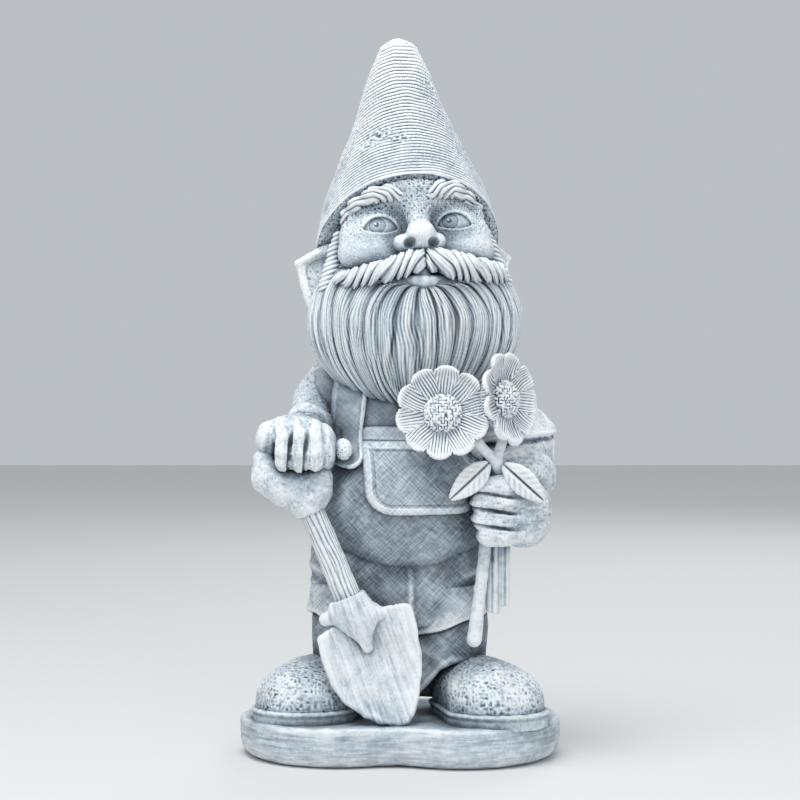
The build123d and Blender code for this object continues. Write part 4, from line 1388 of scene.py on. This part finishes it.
def hat_mesh():
    """The hat as rows from its apex to its edge, then round the edge and in under it."""
    around, rows = 640, 520
    edge_round, edge_thick = 2.6, 1.4
    theta = np.arange(around) * 2 * math.pi / around
    fine = np.linspace(0, 1, 4000)
    knots = np.array(PROFILE[::-1], float)
    heights = APEX - 225 * fine
    radii = np.interp(heights, knots[:, 0], knots[:, 1])
    kernel = np.ones(121) / 121
    padded = np.pad(radii, 60, mode="edge")
    smooth = np.convolve(padded, kernel, mode="valid")
    keep = ramp(APEX - heights, 10, 24)
    radii = radii * (1 - keep) + smooth * keep
    points = []
    # y of a point is -r cos(theta), so theta 0 is the front; the edge is where z = level - slope * y.
    edge_height = np.empty(around)
    for i, t in enumerate(theta):
        gap = heights - (BRIM_LEVEL + BRIM_SLOPE * radii * math.cos(t))
        edge_height[i] = heights[np.argmax(gap < 0)]
    fraction = np.linspace(0, 1, rows)
    for f in fraction:
        h = APEX - (APEX - edge_height) * f
        r = np.interp(-h, -heights, radii)
        points.append((r, h))
    last_r = points[-1][0]

    def plane_height(radius):
        return BRIM_LEVEL + BRIM_SLOPE * radius * np.cos(theta)

    for k in range(1, 6):
        a = k / 5 * math.pi / 2
        r = last_r - edge_round * (1 - math.cos(a))
        points.append((r, plane_height(r) - edge_thick * math.sin(a)))
    under_rows = 44
    for k in range(1, under_rows + 1):
        r = (last_r - edge_round) * (1 - 0.5 * k / under_rows)
        points.append((r, plane_height(r) - edge_thick))
    r = np.array([a for a, _ in points])
    h = np.array([b for _, b in points])
    return theta, r, h, len(fraction)


def make_hat():
    theta, r, h, skin_rows = hat_mesh()
    rows, around = r.shape
    t = np.broadcast_to(theta, r.shape)
    f = np.clip(np.arange(rows) / (skin_rows - 1), 0, 1)[:, None] + 0 * t
    on_skin = (np.arange(rows) < skin_rows)[:, None] * np.ones_like(t)
    wobble = 0.25 * noise(np.cos(t) * 3, np.sin(t) * 3, f * 9, 91)
    phase = 36 * f + 7 * f * f + wobble
    ribs = groove(phase, 1.6)
    ring_id = np.floor(phase)
    nicks = noise(t * 26, ring_id, 0 * t, 92) * 0.22 + noise(t * 60, ring_id, 0 * t, 93) * 0.12
    fade = ramp(f, 0.015, 0.05) * (1 - 0.45 * ramp(f, 0.55, 0.95))
    bumps = (ribs * 1.7 - 1.2 + nicks * ribs) * fade
    lump = rough((np.cos(t) * r / 14, np.sin(t) * r / 14, h / 14), WIDE, 94) * 0.5
    wear = 0.0 * t
    for t0, f0, wt, wf in ((0.95, 0.33, 0.34, 0.05), (-0.62, 0.70, 0.30, 0.055), (-0.2, 0.75, 0.16, 0.03)):
        spot = bell(np.arctan2(np.sin(t - t0), np.cos(t - t0)), wt) * bell(f - f0, wf)
        wear = np.maximum(wear, spot)
    chips = noise(t * 22, f * 95, 0 * t, 95)
    bumps = bumps * (1 - wear) + wear * (chips * 1.3 - 0.6)
    relief = (bumps + lump) * on_skin
    # The underside is stippled and set 0.9 lower; this also enters the stored relief, where next to the
    # edge it paints the underside darker as shade under the brim.
    under = (1 - on_skin) * (stipple((np.cos(t) * r, np.sin(t) * r, h), 1.9, 96) * 0.8 - 0.9)
    radius = r + relief * 0.92
    height = h + relief * 0.35 + under
    local = np.stack((radius * np.sin(t), -radius * np.cos(t), height), -1)
    flat = local.reshape(-1, 3)
    world = HEAD.at + flat @ HEAD.m.T
    top = HEAD.out((0, 0, APEX + 0.3))
    middle = HEAD.out((0, 0, 30))
    points = np.vstack((world, top, middle))
    under_side = np.concatenate(((1 - on_skin).ravel(), (0.0, 1.0)))
    i = np.arange(rows - 1)[:, None] * around + np.arange(around)
    j = np.arange(rows - 1)[:, None] * around + (np.arange(around) + 1) % around
    quads = np.stack((i, i + around, j + around, j), -1).reshape(-1, 4)
    first = np.arange(around)
    after = (first + 1) % around
    base = (rows - 1) * around
    tris2 = np.stack((np.full(around, rows * around + 1), base + after, base + first), -1)
    quads = quads[around * 2:]
    tris = np.stack((np.full(around, rows * around), 2 * around + first, 2 * around + after), -1)
    used = np.concatenate((np.arange(2 * around, rows * around), [rows * around, rows * around + 1]))
    index = np.full(len(points), -1)
    index[used] = np.arange(len(used))
    relief_all = np.concatenate(((relief + under).ravel(), [0, 0]))[used]
    return points[used], index[np.vstack((tris, tris2))], index[quads], relief_all, under_side[used]


def hat_volume(p):
    q = HEAD.inside(p)
    r = np.hypot(q[0], q[1])
    shape_z = np.broadcast_to(q[2], r.shape)
    knots = np.array(PROFILE[::-1], float)
    wide = np.interp(shape_z.ravel(), knots[:, 0], knots[:, 1]).reshape(r.shape)
    return meet((r - wide) * 0.9, BRIM_LEVEL - BRIM_SLOPE * q[1] - q[2], 0)


points, tris, quads, hat_height, hat_under = make_hat()
mesh = mesh_of("hat_cone", points, tris, quads)
still = np.zeros(len(mesh.vertices))
# The brim's underside is stored 0.34 lower, so the material paints it darker: painted shade under the brim.
hat_shade = hat_height - even_out(mesh, hat_height, 12) - 0.34 * hat_under
register("hat_cone", ["hat", "hat_brim"], mesh, HAT, hat_shade, still, still)
low = HEAD.out((0, 0, 60)) - (84, 92, 110)
low_cell = np.floor((low - ORIGIN) / COARSE)
start = ORIGIN + low_cell * COARSE
axes = [(start[i] + np.arange(n) * COARSE).astype(F32) for i, n in enumerate((84, 96, 110))]
p = [axes[0][:, None, None], axes[1][None, :, None], axes[2][None, None, :]]
fill(low_cell, np.clip(0.5 - hat_volume(p) / COARSE, 0, 1).astype(F32))

shade()

# ---- floor, light and camera
floor_mesh = bpy.data.meshes.new("floor")
FLOOR_REACH = 4.0  # m
corners = [(x * FLOOR_REACH, y * FLOOR_REACH, 0) for x, y in ((-1, -1), (1, -1), (1, 1), (-1, 1))]
floor_mesh.from_pydata(corners, [], [(0, 1, 2, 3)])
floor = bpy.data.objects.new("floor", floor_mesh)
bpy.context.scene.collection.objects.link(floor)
floor_mat = bpy.data.materials.new("floor_paint")
floor_mat.use_nodes = True
floor_mat.node_tree.nodes["Principled BSDF"].inputs["Base Color"].default_value = (0.72, 0.72, 0.71, 1)
floor_mat.node_tree.nodes["Principled BSDF"].inputs["Roughness"].default_value = 0.9
floor_mesh.materials.append(floor_mat)

world = bpy.data.worlds.new("studio")
bpy.context.scene.world = world
world.use_nodes = True
world.node_tree.nodes["Background"].inputs[0].default_value = (0.90, 0.95, 1.0, 1)
world.node_tree.nodes["Background"].inputs[1].default_value = 0.55


def area(name, place, aim, size, power, colour=(1, 1, 1)):
    light = bpy.data.lights.new(name, "AREA")
    light.shape = "DISK"
    light.size = size
    light.energy = power
    light.color = colour
    obj = bpy.data.objects.new(name, light)
    obj.location = place
    obj.rotation_euler = (Vector(aim) - Vector(place)).to_track_quat("-Z", "Y").to_euler()
    bpy.context.scene.collection.objects.link(obj)


area("top_light", (-0.35, -0.7, 2.0), (0, 0, 0.3), 1.3, 26)
area("front_light", (0.5, -2.4, 1.3), (0, 0, 0.3), 1.6, 12)
area("back_light", (0.6, 1.8, 1.5), (0, 0, 0.3), 1.5, 10)

bpy.context.scene.view_settings.view_transform = "Standard"

SENSOR = 36.0  # mm
IMAGE_WIDTH = 800
FOCAL_PIXELS = 2619  # focal length in widths of a pixel
CAMERA_AT = (0, -2.0, 0.33)  # m
LOOKS_DOWN = 1.72  # degrees
camera_data = bpy.data.cameras.new("camera")
camera_data.sensor_width = SENSOR
camera_data.lens = SENSOR * FOCAL_PIXELS / IMAGE_WIDTH
camera = bpy.data.objects.new("camera", camera_data)
bpy.context.scene.collection.objects.link(camera)
camera.location = CAMERA_AT
camera.rotation_euler = (math.radians(90 - LOOKS_DOWN), 0, 0)
bpy.context.scene.camera = camera
